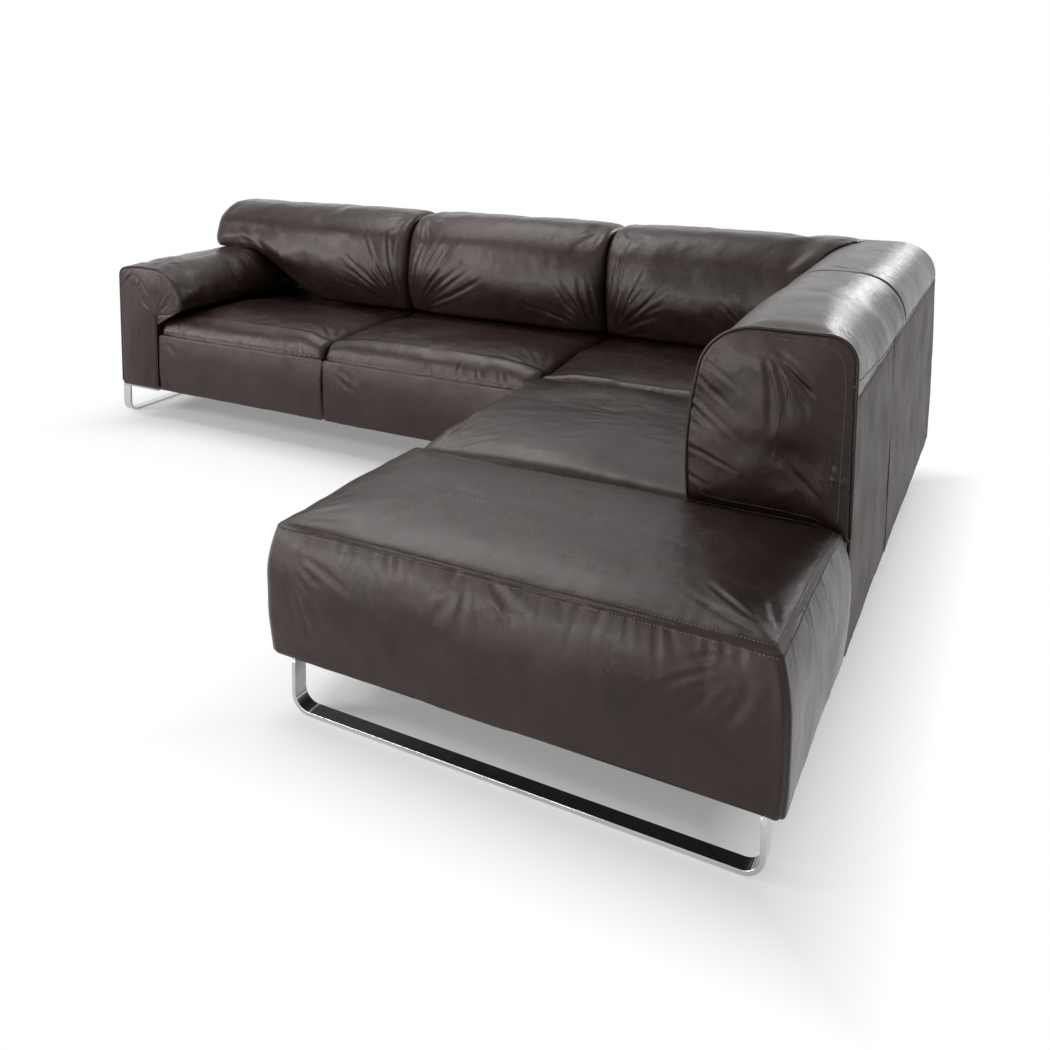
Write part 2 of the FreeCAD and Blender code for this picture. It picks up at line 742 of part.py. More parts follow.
def chaise_rail_x(name, from_rear):
    low = f"({FRAME_INSET} + {BOARD})"
    return box(name, low, from_rear, RAIL_BOTTOM, f"({CHAISE_LEFT} - {BOARD} - {low})", BOARD, RAIL)


def chaise_rail_y(name, from_right):
    return box(name, from_right, FRAME_INSET, RAIL_BOTTOM, BOARD, f"({CHAISE_FRONT} - {FRAME_INSET})", RAIL)


SLED_RAIL_REAR = "(sizes.corner_sled_setback - sizes.board_thickness / 2)"
OTTOMAN_RAIL = f"({SEAT_4_SIDE} - {BOARD} / 2)"
CORNER_RAIL = f"(sizes.wing_depth - {BOARD} / 2)"
FRONT_RAIL = f"({CHAISE_FRONT} - {BOARD})"
WING_FRONT_RAIL = f"({FRONT_BOARD} - {BOARD})"
WING_SLED_RAIL = "sizes.arm_sled_rear_inset"


def screw_places():
    """Each sled plate's two screws, as a name with distances from the right and rear faces."""
    half = "(sizes.screw_spacing / 2)"
    near = "(sizes.sled_end_inset + sizes.plate_length / 2)"
    far = "(sizes.corner_width - sizes.sled_far_inset - sizes.plate_length / 2)"
    arm = f"({LEFT_SIDE} - sizes.arm_width / 2)"
    rows = {
        "ottoman_right": (near, f"({FRONT_RAIL} + {BOARD} / 2)"),
        "ottoman_left": (far, f"({FRONT_RAIL} + {BOARD} / 2)"),
        "corner_right": (near, "sizes.corner_sled_setback"),
        "corner_left": (far, "sizes.corner_sled_setback"),
        "arm_front": (arm, f"({WING_FRONT_RAIL} + {BOARD} / 2)"),
        "arm_rear": (arm, f"({WING_SLED_RAIL} + {BOARD} / 2)"),
    }
    places = []
    for name, (from_right, from_rear) in rows.items():
        for side, sign in (("a", "-"), ("b", "+")):
            places.append((f"{name}_{side}", f"({from_right} {sign} {half})", from_rear))
    return places


def screw_holes(label, chosen):
    return [
        upright_cylinder(
            f"{label}_{name}", "(sizes.screw_radius + sizes.piece_gap)", x, y,
            "0", f"({RAIL_BOTTOM} + sizes.screw_length)",
        )
        for name, x, y in screw_places() if name.startswith(chosen)
    ]


def make_base_frames():
    drilled("chaise_base_frame", [
        chaise_rail_y("chaise_right_rail", FRAME_INSET),
        chaise_rail_y("chaise_left_rail", f"({CHAISE_LEFT} - {BOARD})"),
        chaise_rail_x("chaise_front_rail", FRONT_RAIL),
        chaise_rail_x("chaise_ottoman_rail", OTTOMAN_RAIL),
        chaise_rail_x("chaise_corner_rail", CORNER_RAIL),
        chaise_rail_x("chaise_sled_rail", SLED_RAIL_REAR),
        chaise_rail_x("chaise_rear_rail", FRAME_INSET),
    ], screw_holes("chaise_hole", ("ottoman", "corner")))
    arm_block_rear = f"({FRONT_BOARD} - {BOARD})"
    arm_block = f"({ARM_BOARD_SIDE} + sizes.ply_thickness)"
    arm_wall = "(sizes.cover_thickness + sizes.piece_gap + sizes.ply_thickness)"
    arm_block_length = f"(sizes.arm_width - 2 * {arm_wall})"
    drilled("wing_base_frame", [
        wing_rail_y("wing_right_rail", WING_RAIL_LOW),
        wing_rail_y("wing_left_rail", f"({ARM_BOARD_SIDE} - {BOARD})"),
        box("wing_middle_rail", f"({SPLIT_12} - {BOARD} / 2)", f"({FRAME_INSET} + {BOARD})", RAIL_BOTTOM,
            BOARD, f"({FRONT_BOARD} - {FRAME_INSET} - 2 * {BOARD})", RAIL),
        wing_rail_x("wing_front_rail", WING_FRONT_RAIL),
        wing_rail_x("wing_rear_rail", FRAME_INSET),
        box("arm_front_block", arm_block, arm_block_rear, RAIL_BOTTOM, arm_block_length, BOARD, RAIL),
        box("arm_rear_block", arm_block, WING_SLED_RAIL, RAIL_BOTTOM, arm_block_length, BOARD, RAIL),
    ], screw_holes("wing_hole", ("arm",)))


def make_corner_blocks():
    """Glued blocks in the corners of both base frames."""
    low = f"({FRAME_INSET} + {BOARD})"
    block = "(sizes.board_thickness * 2)"
    chaise_high = f"({CHAISE_LEFT} - {BOARD} - {block})"
    wing_low = f"({WING_RAIL_LOW} + {BOARD})"
    wing_high = f"({ARM_BOARD_SIDE} - {BOARD} - {block})"
    places = [
        (low, f"({FRONT_RAIL} - {block})"), (chaise_high, f"({FRONT_RAIL} - {block})"),
        (low, f"({CORNER_RAIL} - {block})"), (chaise_high, f"({CORNER_RAIL} - {block})"),
        (low, low), (chaise_high, low),
        (wing_low, low), (wing_high, low),
        (wing_low, f"({WING_FRONT_RAIL} - {block})"), (wing_high, f"({WING_FRONT_RAIL} - {block})"),
    ]
    bottom = f"({RAIL_TOP} - {block})"
    group("corner_blocks", [
        box(f"corner_block_{number}", x, y, bottom, block, block, block)
        for number, (x, y) in enumerate(places, start=1)
    ])


def upright(name, from_right, from_rear, across):
    """A back post on the base frame. across is true where the back runs along X."""
    depth = "(sizes.frame_depth - sizes.panel_thickness - sizes.strap_thickness - 3 * sizes.piece_gap)"
    height = f"(sizes.roll_seam_height - {RAIL_TOP} - {BOARD})"
    if across:
        return box(name, from_right, from_rear, RAIL_TOP, BOARD, depth, height)
    return box(name, from_right, from_rear, RAIL_TOP, depth, BOARD, height)


def make_back_frames():
    depth = "(sizes.frame_depth - sizes.panel_thickness - sizes.strap_thickness - 3 * sizes.piece_gap)"
    rail_bottom = f"(sizes.roll_seam_height - {BOARD})"
    wing_low = WING_RAIL_LOW
    wing_posts = [
        upright("wing_post_right", wing_low, FRAME_INSET, True),
        upright("wing_post_middle", f"({SPLIT_12} - {BOARD} / 2)", FRAME_INSET, True),
        upright("wing_post_arm", f"({ARM_BOARD_SIDE} - {BOARD})", FRAME_INSET, True),
    ]
    wing_top = box("wing_top_rail", wing_low, FRAME_INSET, rail_bottom,
                   f"({LEFT_SIDE} - sizes.panel_thickness - sizes.piece_gap - {wing_low})", depth, BOARD)
    end_post = box("wing_post_end", f"({LEFT_SIDE} - sizes.cover_thickness - sizes.piece_gap - {BOARD})",
                   FRAME_INSET, RAIL_BOTTOM, BOARD, depth, f"({rail_bottom} - {RAIL_BOTTOM})")
    group("wing_back_frame", wing_posts + [wing_top, end_post])

    corner_post = upright("corner_post", FRAME_INSET, FRAME_INSET, True)
    corner_posts = [
        corner_post,
        upright("corner_post_middle", "(sizes.corner_width / 2)", FRAME_INSET, True),
        upright("corner_post_left", f"({CHAISE_LEFT} - {BOARD})", FRAME_INSET, True),
        box("corner_top_rail", FRAME_INSET, FRAME_INSET, rail_bottom,
            f"({CHAISE_LEFT} - {FRAME_INSET})", depth, BOARD),
    ]
    group("corner_back_frame", corner_posts)

    return_rear = "(sizes.frame_depth + sizes.piece_gap)"
    return_front = f"({SEAT_4_SIDE} - sizes.module_gap - {BOARD})"
    return_posts = [
        upright("return_post_front", FRAME_INSET, return_front, False),
        upright("return_post_middle", FRAME_INSET, f"(sizes.side_panel_split - 2 * {BOARD})", False),
        upright("return_post_rear", FRAME_INSET, "(sizes.cap_length / 2)", False),
        box("return_top_rail", FRAME_INSET, return_rear, rail_bottom, depth,
            f"({return_front} + {BOARD} - {return_rear})", BOARD),
    ]
    group("return_back_frame", return_posts)


def make_corner_deck():
    """A board on two bearers that carries the cap and the return back's rear end."""
    low = "(sizes.frame_depth + sizes.strap_thickness + sizes.deck_clearance)"
    width = f"(sizes.flat_reach - {low})"
    length = f"(sizes.wing_depth - sizes.module_gap - {low})"
    top = "(sizes.back_foot_height - sizes.piece_gap)"
    deck_bottom = f"({top} - sizes.ply_thickness)"
    bearer_height = f"({deck_bottom} - {RAIL_TOP})"
    group("corner_deck", [
        box("deck_board", low, low, deck_bottom, width, length, "sizes.ply_thickness"),
        box("deck_bearer_front", low, f"({CORNER_RAIL} + 2 * sizes.deck_clearance)", RAIL_TOP, width,
            "(sizes.ply_thickness / 2)", bearer_height),
        box("deck_bearer_rear", low, SLED_RAIL_REAR, RAIL_TOP, width, BOARD, bearer_height),
    ])


# Webbing

LAP = "sizes.strap_clearance"


def straps(prefix, placed, run, bottom, along_x):
    """Flat straps side by side. placed is where they lie, run is where each starts and ends."""
    (first, first_number), (last, last_number) = placed
    room = last_number - first_number - 2 * size("strap_margin") - size("strap_width")
    count = int(room // size("strap_pitch")) + 1
    (start, _), (stop, _) = run
    length = f"({stop} - {start})"
    made = []
    for number in range(count):
        place = f"({first} + sizes.strap_margin + {number} * sizes.strap_pitch)"
        if along_x:
            spot, plan = (start, place), (length, "sizes.strap_width")
        else:
            spot, plan = (place, start), ("sizes.strap_width", length)
        made.append(box(f"{prefix}_{number}", *spot, bottom, *plan, "sizes.strap_thickness"))
    return made


def seat_webbing(label, across, along, bay_across=None, bay_along=None):
    """Straps both ways over one bay, resting on its rails. The bays say where straps may lie."""
    lengthwise = straps(label + "_long", bay_across or across, along, RAIL_TOP, False)
    upper = f"({RAIL_TOP} + sizes.strap_thickness)"
    crosswise = straps(label + "_cross", bay_along or along, across, upper, True)
    group(label, lengthwise + crosswise)


def make_webbing():
    board = size("board_thickness")
    skin = COVER + GAP
    lap = size("strap_clearance")
    front = (FRONT_BOARD, size("wing_depth") - size("front_panel_thickness") - GAP)
    rear = (f"({FRAME_INSET} + {LAP})", skin + lap)
    clear = ("sizes.back_clearance", size("back_clearance"))
    middle_left = (f"({SPLIT_12} + {LAP})", WING_SPLIT_12 + lap)
    middle_right = (f"({SPLIT_12} - {LAP})", WING_SPLIT_12 - lap)
    arm_side = (f"({ARM_BOARD_SIDE} - {LAP})", WING_ARM_SIDE)
    wing_side = (WING_RAIL_LOW, WING_SPLIT_23 + size("latch_thickness"))
    seat_webbing("seat_webbing_1", (middle_left, arm_side), (rear, front), bay_along=(clear, front))
    seat_webbing("seat_webbing_2", (wing_side, middle_right), (rear, front), bay_along=(clear, front))

    chaise_left = (f"({CHAISE_LEFT} - {LAP})", WING_SPLIT_23 - size("front_panel_thickness") - lap)
    chaise_right = rear
    past_deck = ("sizes.flat_reach", size("flat_reach"))
    sled_rail = (SLED_RAIL_REAR, size("corner_sled_setback") - board / 2)
    past_sled_rail = (f"({SLED_RAIL_REAR} + {BOARD})", size("corner_sled_setback") + board / 2)
    corner_front = (f"(sizes.wing_depth - {LAP})", size("wing_depth") - lap)
    seat_webbing("seat_webbing_3", (chaise_right, chaise_left), (sled_rail, corner_front),
                 bay_across=(past_deck, chaise_left), bay_along=(past_sled_rail, corner_front))

    corner_rear = (f"(sizes.wing_depth + {LAP})", size("wing_depth") + lap)
    seat_4_front = (f"({SEAT_4_SIDE} - {LAP})", size("wing_depth") + size("seat_4_length") - lap)
    seat_webbing("seat_webbing_4", (chaise_right, chaise_left), (corner_rear, seat_4_front),
                 bay_across=(clear, chaise_left))
    ottoman_rear = (f"({SEAT_4_SIDE} + {LAP})", size("wing_depth") + size("seat_4_length") + lap)
    ottoman_front = (CHAISE_FRONT, 2 * HALF_DEPTH - skin)
    seat_webbing("ottoman_webbing", (chaise_right, chaise_left), (ottoman_rear, ottoman_front))


def make_back_webbing():
    """Level straps on the faces of the back posts, behind the foam."""
    face = "(sizes.frame_depth - sizes.strap_thickness - 2 * sizes.piece_gap)"
    thin = "sizes.strap_thickness"
    return_start = "(sizes.cap_length / 2)"
    runs = {
        "wing_back": (WING_RAIL_LOW, face, f"({ARM_BOARD_SIDE} - {WING_RAIL_LOW})", thin),
        "corner_back": (FRAME_INSET, face, f"({CHAISE_LEFT} - {FRAME_INSET})", thin),
        "return_back": (face, return_start, thin, f"({SEAT_4_SIDE} - sizes.module_gap - {return_start})"),
    }
    for name, (from_right, from_rear, length, width) in runs.items():
        levels = []
        for number in range(BACK_STRAP_ROWS):
            height = f"({RAIL_TOP} + sizes.back_strap_lift + {number} * sizes.strap_pitch)"
            levels.append(box(f"{name}_strap_{number}", from_right, from_rear, height, length, width,
                              "sizes.strap_width"))
        group(f"{name}_webbing", levels)


# Sleds, plates, feet and fixings

def arc(centre, radius, start):
    """A quarter turn in the sketch plane, counted anticlockwise from an angle."""
    return Part.ArcOfCircle(
        Part.Circle(Vector(*centre, 0), Vector(0, 0, 1), radius), start, start + math.pi / 2
    )


def sled_body(label, span, rise, placement_axis, base):
    """A flat bar bent into a U, padded from its outline.

    span and rise are expressions. The sketch is drawn at its present size, and the constraints keep it.
    """
    body = doc.addObject("PartDesign::Body", label)
    sketch = body.newObject("Sketcher::SketchObject", label + "_outline")
    plane = [item for item in body.Origin.OriginFeatures if item.Role == "XZ_Plane"][0]
    sketch.AttachmentSupport = (plane, [""])
    sketch.MapMode = "FlatFace"
    wide, high = float(body.evalExpression(span)), float(body.evalExpression(rise))
    bend, bar = size("sled_bend_radius"), size("bar_thickness")
    outer = [
        Part.LineSegment(Vector(0, high, 0), Vector(0, bend, 0)),
        arc((bend, bend), bend, math.pi),
        Part.LineSegment(Vector(bend, 0, 0), Vector(wide - bend, 0, 0)),
        arc((wide - bend, bend), bend, 1.5 * math.pi),
        Part.LineSegment(Vector(wide, bend, 0), Vector(wide, high, 0)),
    ]
    near = bend - bar
    inner = [
        Part.LineSegment(Vector(wide, high, 0), Vector(wide - bar, high, 0)),
        Part.LineSegment(Vector(wide - bar, high, 0), Vector(wide - bar, bend, 0)),
        arc((wide - bend, bend), near, 1.5 * math.pi),
        Part.LineSegment(Vector(wide - bend, bar, 0), Vector(bend, bar, 0)),
        arc((bend, bend), near, math.pi),
        Part.LineSegment(Vector(bar, bend, 0), Vector(bar, high, 0)),
        Part.LineSegment(Vector(bar, high, 0), Vector(0, high, 0)),
    ]
    sketch.addGeometry(outer + inner, False)
    tie = Sketcher.Constraint
    start, end, centre = 1, 2, 3
    joints = [
        tie("Tangent", 0, end, 1, start), tie("Tangent", 1, end, 2, start), tie("Tangent", 2, end, 3, start),
        tie("Tangent", 3, end, 4, start), tie("Coincident", 4, end, 5, start),
        tie("Coincident", 5, end, 6, start), tie("Tangent", 6, end, 7, end), tie("Tangent", 7, start, 8, start),
        tie("Tangent", 8, end, 9, end), tie("Tangent", 9, start, 10, start),
        tie("Coincident", 10, end, 11, start), tie("Coincident", 11, end, 0, start),
        tie("Vertical", 0), tie("Horizontal", 2), tie("Vertical", 4), tie("Horizontal", 5), tie("Horizontal", 11),
        tie("Coincident", 1, centre, 9, centre), tie("Coincident", 3, centre, 7, centre),
        tie("Equal", 1, 3), tie("Equal", 5, 11), tie("Horizontal", 0, start, 4, end),
        tie("DistanceX", 1, centre, bend), tie("DistanceY", 1, centre, bend),
    ]
    sketch.addConstraint(joints)
    named = {
        "bend_radius": (tie("Radius", 1, bend), "sizes.sled_bend_radius"),
        "bar_thick": (tie("DistanceX", 11, end, 11, start, bar), "sizes.bar_thickness"),
        "leg_span": (tie("DistanceX", 0, start, 4, end, wide), span),
        "leg_rise": (tie("DistanceY", 2, start, 0, start, high), rise),
    }
    for name, (constraint, expression) in named.items():
        index = sketch.addConstraint(constraint)
        sketch.renameConstraint(index, name)
        sketch.setExpression(f"Constraints.{name}", expression)
    for index, item in enumerate(sketch.Constraints):
        if item.Type in ("DistanceX", "DistanceY") and item.Name == "":
            sketch.setExpression(f"Constraints[{index}]", "sizes.sled_bend_radius")
    pad = body.newObject("PartDesign::Pad", label + "_bar")
    pad.Profile = sketch
    pad.setExpression("Length", "sizes.bar_width")
    body.Tip = pad
    body.Placement.Rotation = placement_axis
    for axis, expression in zip("xyz", base):
        body.setExpression(f"Placement.Base.{axis}", expression)
    return keep(body, label)


LEG_TOP = "(sizes.underside_height - sizes.glide_thickness)"
ARM_LEG_TOP = "(sizes.underside_height - sizes.frame_lift - sizes.glide_thickness)"
CROSS_SPAN = "(sizes.corner_width - sizes.sled_end_inset - sizes.sled_far_inset)"
ARM_PLATE_FRONT = "(sizes.arm_depth - sizes.arm_sled_front_inset - sizes.plate_width)"
ARM_PLATE_REAR = "(sizes.arm_sled_rear_inset - sizes.plate_width / 4)"
ARM_SPAN = "(sizes.arm_depth - sizes.arm_sled_front_inset - sizes.arm_sled_rear_inset)"


def make_sleds():
    left = f"{RIGHT} - sizes.corner_width + sizes.sled_far_inset"
    straight = Rotation(0, 0, 0)
    turned = Rotation(Vector(0, 0, 1), 90)
    sled_body("ottoman_sled", CROSS_SPAN, LEG_TOP, straight,
              (left, f"-{REAR} + sizes.bar_width", "sizes.glide_thickness"))
    sled_body("corner_sled", CROSS_SPAN, LEG_TOP, straight,
              (left, f"{REAR} - sizes.corner_sled_setback + sizes.bar_width / 2", "sizes.glide_thickness"))
    sled_body("arm_sled", ARM_SPAN, ARM_LEG_TOP, turned,
              (f"-{RIGHT}", f"{REAR} - sizes.arm_depth + sizes.arm_sled_front_inset", "sizes.glide_thickness"))


def make_glides():
    """Two thin pads under each sled's floor bar and one under each hidden foot."""
    margin = "(sizes.bar_width / 2 - sizes.glide_width / 2)"
    near = "(sizes.sled_end_inset + sizes.sled_bend_radius)"
    far = "(sizes.corner_width - sizes.sled_far_inset - sizes.sled_bend_radius - sizes.glide_length)"
    front = f"({FRONT_SIDE} - sizes.bar_width + {margin})"
    rear = f"(sizes.corner_sled_setback - sizes.bar_width / 2 + {margin})"
    arm_x = f"({LEFT_SIDE} - sizes.bar_width + {margin})"
    arm_front = "(sizes.arm_depth - sizes.arm_sled_front_inset - sizes.sled_bend_radius - sizes.glide_length)"
    arm_rear = "(sizes.arm_sled_rear_inset + sizes.sled_bend_radius)"
    pads = []
    for name, x, y in (
        ("front_right", near, front), ("front_left", far, front),
        ("rear_right", near, rear), ("rear_left", far, rear),
    ):
        pads.append(box(f"glide_{name}", x, y, "0", "sizes.glide_length", "sizes.glide_width",
                        "sizes.glide_thickness"))
    for name, y in (("arm_front", arm_front), ("arm_rear", arm_rear)):
        pads.append(box(f"glide_{name}", arm_x, y, "0", "sizes.glide_width", "sizes.glide_length",
                        "sizes.glide_thickness"))
    group("sled_glides", pads)


def make_plates():
    """Steel plates between the sled legs and the base frames, each with two screw holes."""
    near = "sizes.sled_end_inset"
    far = "(sizes.corner_width - sizes.sled_far_inset - sizes.plate_length)"
    front = f"({FRONT_SIDE} - sizes.cover_thickness - sizes.piece_gap - sizes.plate_width)"
    rear = "(sizes.corner_sled_setback - sizes.plate_width / 2)"
    cross = [
        box(f"plate_{name}", x, y, "sizes.underside_height", "sizes.plate_length", "sizes.plate_width",
            "sizes.plate_thickness")
        for name, x, y in (
            ("front_right", near, front), ("front_left", far, front),
            ("rear_right", near, rear), ("rear_left", far, rear),
        )
    ]
    drilled("sled_plates", cross, screw_holes("plate_hole", ("ottoman", "corner")))
    skin = "(sizes.cover_thickness + sizes.piece_gap)"
    arm_x = f"({LEFT_SIDE} - {skin} - sizes.arm_plate_length)"
    below = "(sizes.underside_height - sizes.frame_lift)"
    thick = "(2 * sizes.frame_lift)"
    arm = [
        box(f"arm_plate_{name}", arm_x, y, below, "sizes.arm_plate_length", "sizes.plate_width", thick)
        for name, y in (("front", ARM_PLATE_FRONT), ("rear", ARM_PLATE_REAR))
    ]
    drilled("arm_sled_plates", arm, screw_holes("arm_plate_hole", ("arm",)))


def make_screws():
    screws = []
    for name, x, y in screw_places():
        head_bottom = "sizes.underside_height"
        if name.startswith("arm"):
            head_bottom = "(sizes.underside_height - sizes.frame_lift)"
        head = upright_cylinder(
            f"screw_head_{name}", "sizes.screw_head_radius", x, y,
            f"({head_bottom} - sizes.screw_head_height)", "sizes.screw_head_height",
        )
        shank = upright_cylinder(
            f"screw_shank_{name}", "sizes.screw_radius", x, y, head_bottom, "sizes.screw_length"
        )
        screw = doc.addObject("Part::Fuse", f"screw_{name}")
        screw.Base = head
        screw.Tool = shank
        screws.append(screw)
    group("sled_screws", screws)


FOOT_POST_RADIUS = f"(sizes.foot_radius * {FOOT_POST_SHARE})"


def make_support_feet():
    """Two turned feet under the long wing's right rail, where it meets the corner unit."""
    centre = f"({WING_RAIL_LOW} + {BOARD} / 2)"
    feet = []
    for name, y in (("front", f"({FRONT_BOARD} - 2 * sizes.foot_inset)"), ("rear", "sizes.foot_inset")):
        post = upright_cylinder(f"foot_post_{name}", FOOT_POST_RADIUS, centre, y, "sizes.foot_pad_height",
                                f"({RAIL_BOTTOM} - sizes.foot_pad_height)")
        pad = upright_cylinder(f"foot_pad_{name}", "sizes.foot_radius", centre, y, "0", "sizes.foot_pad_height")
        foot = doc.addObject("Part::Fuse", f"foot_{name}")
        foot.Base = post
        foot.Tool = pad
        feet.append(foot)
    group("support_feet", feet)


def make_module_latches():
    """Steel tongue and catch plates that tie the long wing to the corner unit."""
    height = f"({RAIL_BOTTOM} + sizes.rail_height / 4)"
    rises = "(sizes.rail_height / 2)"
    catch_x = f"({WING_RAIL_LOW} - sizes.latch_thickness)"
    tongue_length = f"({WING_RAIL_LOW} - sizes.latch_thickness - {CHAISE_LEFT})"
    catches, tongues = [], []
    for name, y in (("rear", "sizes.foot_inset"), ("front", f"({FRONT_BOARD} - 2 * sizes.foot_inset)")):
        catches.append(box(f"catch_{name}", catch_x, y, height, "sizes.latch_thickness",
                           "sizes.latch_length", rises))
        tongues.append(box(f"tongue_{name}", CHAISE_LEFT, y, height, tongue_length,
                           "sizes.latch_length", rises))
    group("latch_catches", catches)
    group("latch_tongues", tongues)


def make_dust_covers():
    """Thin black cloth under both base frames, cut clear of plates and feet."""
    bottom = f"({RAIL_BOTTOM} - sizes.strap_thickness)"
    thin = "sizes.strap_thickness"
    clear = "sizes.strap_thickness"
    reach = f"(sizes.plate_width + 2 * {clear})"
    chaise = box("chaise_cloth", FRAME_INSET, FRAME_INSET, bottom, f"({CHAISE_LEFT} - {FRAME_INSET})",
                 f"({CHAISE_FRONT} - {FRAME_INSET})", thin)
    plate_run = f"(sizes.plate_length + 2 * {clear})"
    near = f"(sizes.sled_end_inset - {clear})"
    far = f"(sizes.corner_width - sizes.sled_far_inset - sizes.plate_length - {clear})"
    front = f"({FRONT_SIDE} - sizes.cover_thickness - sizes.plate_width - 2 * {clear})"
    rear = f"(sizes.corner_sled_setback - {reach} / 2)"
    notches = [
        box(f"chaise_notch_{name}", x, y, bottom, plate_run, reach, thin)
        for name, x, y in (
            ("front_right", near, front), ("front_left", far, front),
            ("rear_right", near, rear), ("rear_left", far, rear),
        )
    ]
    drilled("chaise_dust_cover", [chaise], notches)
    outer_skin = f"({LEFT_SIDE} - sizes.cover_thickness - sizes.piece_gap)"
    wing = box("wing_cloth", WING_RAIL_LOW, FRAME_INSET, bottom,
               f"({outer_skin} - {WING_RAIL_LOW})", f"({FRONT_BOARD} - {FRAME_INSET})", thin)
    arm_plate_x = f"({outer_skin} - sizes.arm_plate_length - {clear})"
    arm_notches = [
        box(f"wing_notch_{name}", arm_plate_x, f"({y} - {clear})", bottom,
            f"(sizes.arm_plate_length + {clear})", reach, thin)
        for name, y in (("front", ARM_PLATE_FRONT), ("rear", ARM_PLATE_REAR))
    ]
    centre = f"({WING_RAIL_LOW} + {BOARD} / 2)"
    holes = [
        upright_cylinder(f"cloth_hole_{name}", f"({FOOT_POST_RADIUS} + sizes.piece_gap)", centre, y,
                         bottom, thin)
        for name, y in (("front", f"({FRONT_BOARD} - 2 * sizes.foot_inset)"), ("rear", "sizes.foot_inset"))
    ]
    drilled("wing_dust_cover", [wing], holes + arm_notches)


make_sleds()
make_glides()
make_plates()
make_screws()
make_support_feet()
make_base_frames()
make_corner_blocks()
make_back_frames()
make_corner_deck()
make_arm_frame()
make_module_latches()
make_webbing()
make_back_webbing()
make_seats()
make_ottoman()
make_backs()
make_return_end_panel()
make_arm()
make_panels()
make_dust_covers()

doc.recompute()

for item in doc.Objects:
    if "Invalid" in item.State or "Error" in item.State:
        raise RuntimeError(f"{item.Label} failed: {item.State}")
for item in pieces:
    if item.Shape.isNull() or not item.Shape.isValid() or not item.Shape.Solids:
        raise RuntimeError(f"{item.Label} has no valid solid")

for item in pieces:
    item.Shape.exportStep(f"parts/{item.Label}.step")

print(len(pieces), "nodes")
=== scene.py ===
"""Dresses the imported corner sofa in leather, thread and chrome, and lights it from the photograph's view."""
import json
import logging
import math
from dataclasses import dataclass
from enum import Enum
from typing import Callable, Dict, List, Optional, Sequence, Tuple

import bpy
import numpy as np
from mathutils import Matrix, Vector


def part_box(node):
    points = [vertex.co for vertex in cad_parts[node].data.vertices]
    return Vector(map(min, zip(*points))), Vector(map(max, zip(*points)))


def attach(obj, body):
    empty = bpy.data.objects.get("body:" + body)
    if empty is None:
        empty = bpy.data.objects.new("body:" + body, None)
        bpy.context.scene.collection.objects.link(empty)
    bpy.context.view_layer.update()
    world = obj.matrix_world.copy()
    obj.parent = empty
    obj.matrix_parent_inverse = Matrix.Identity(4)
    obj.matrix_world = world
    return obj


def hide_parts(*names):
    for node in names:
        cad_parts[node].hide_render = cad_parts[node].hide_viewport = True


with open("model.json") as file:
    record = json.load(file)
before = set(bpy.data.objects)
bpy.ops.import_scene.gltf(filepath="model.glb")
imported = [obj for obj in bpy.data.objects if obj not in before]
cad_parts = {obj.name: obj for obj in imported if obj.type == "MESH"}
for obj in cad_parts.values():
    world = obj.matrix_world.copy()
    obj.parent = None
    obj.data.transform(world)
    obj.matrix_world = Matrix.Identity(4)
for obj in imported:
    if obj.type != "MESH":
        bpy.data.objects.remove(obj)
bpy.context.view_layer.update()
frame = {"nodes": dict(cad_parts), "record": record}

LOG = logging.getLogger("corner_sofa")

Point = Tuple[float, float]


@dataclass(frozen=True)
class Plan:
    """Sizes in metres that several pieces share, as the CAD model has them."""

    half_x: float = 1.556
    half_y: float = 1.193
    split_23: float = 1.140
    split_12: float = 2.040
    arm_side: float = 2.897
    left: float = 3.112
    ottoman: float = 0.625
    corner: float = 1.426
    cap: float = 1.503
    rear: float = 2.386
    side_split: float = 1.251
    wing_depth: float = 0.960
    gap: float = 0.003
    underside: float = 0.126
    filling_bottom: float = 0.252
    front_seam: float = 0.366
    roll_seam: float = 0.720
    roll_start: float = 0.732
    back_top: float = 0.860
    back_foot: float = 0.440
    frame_depth: float = 0.066


PLAN = Plan()
FINE_STEP = 0.0065
HIDDEN_STEP = 0.05
CLOTH_STEP = 0.020


class Wing(Enum):
    """The three runs that pieces are laid out along."""

    LONG = "long"
    RETURN = "return"
    ARM = "arm"


class Fade(Enum):
    """How a fold in the leather dies away along its length."""

    BOTH_ENDS = "both ends"
    FAR_END = "far end"


def place(wing: Wing, along: np.ndarray, inwards: np.ndarray, height: np.ndarray) -> np.ndarray:
    """Turns places on a wing into places in the room.

    Args:
        wing: The run that the places belong to.
        along: Distances along the run.
        inwards: Distances in from the run's outer face.
        height: Heights above the floor.

    Returns:
        The points, with x, y and z in the last axis.
    """
    along, inwards, height = np.broadcast_arrays(along, inwards, height)
    if wing is Wing.LONG:
        return np.stack([PLAN.half_x - along, PLAN.half_y - inwards, height], axis=-1)
    if wing is Wing.RETURN:
        return np.stack([PLAN.half_x - inwards, along - PLAN.half_y, height], axis=-1)
    return np.stack([inwards - PLAN.half_x, PLAN.half_y - along, height], axis=-1)


# Uneven surfaces


def lattice(x: np.ndarray, y: np.ndarray, seed: float) -> np.ndarray:
    """A fixed random number from -1 to 1 for each whole-numbered place."""
    mixed = np.sin(x * 127.1 + y * 311.7 + seed * 74.7) * 43758.5453
    return 2.0 * (mixed - np.floor(mixed)) - 1.0


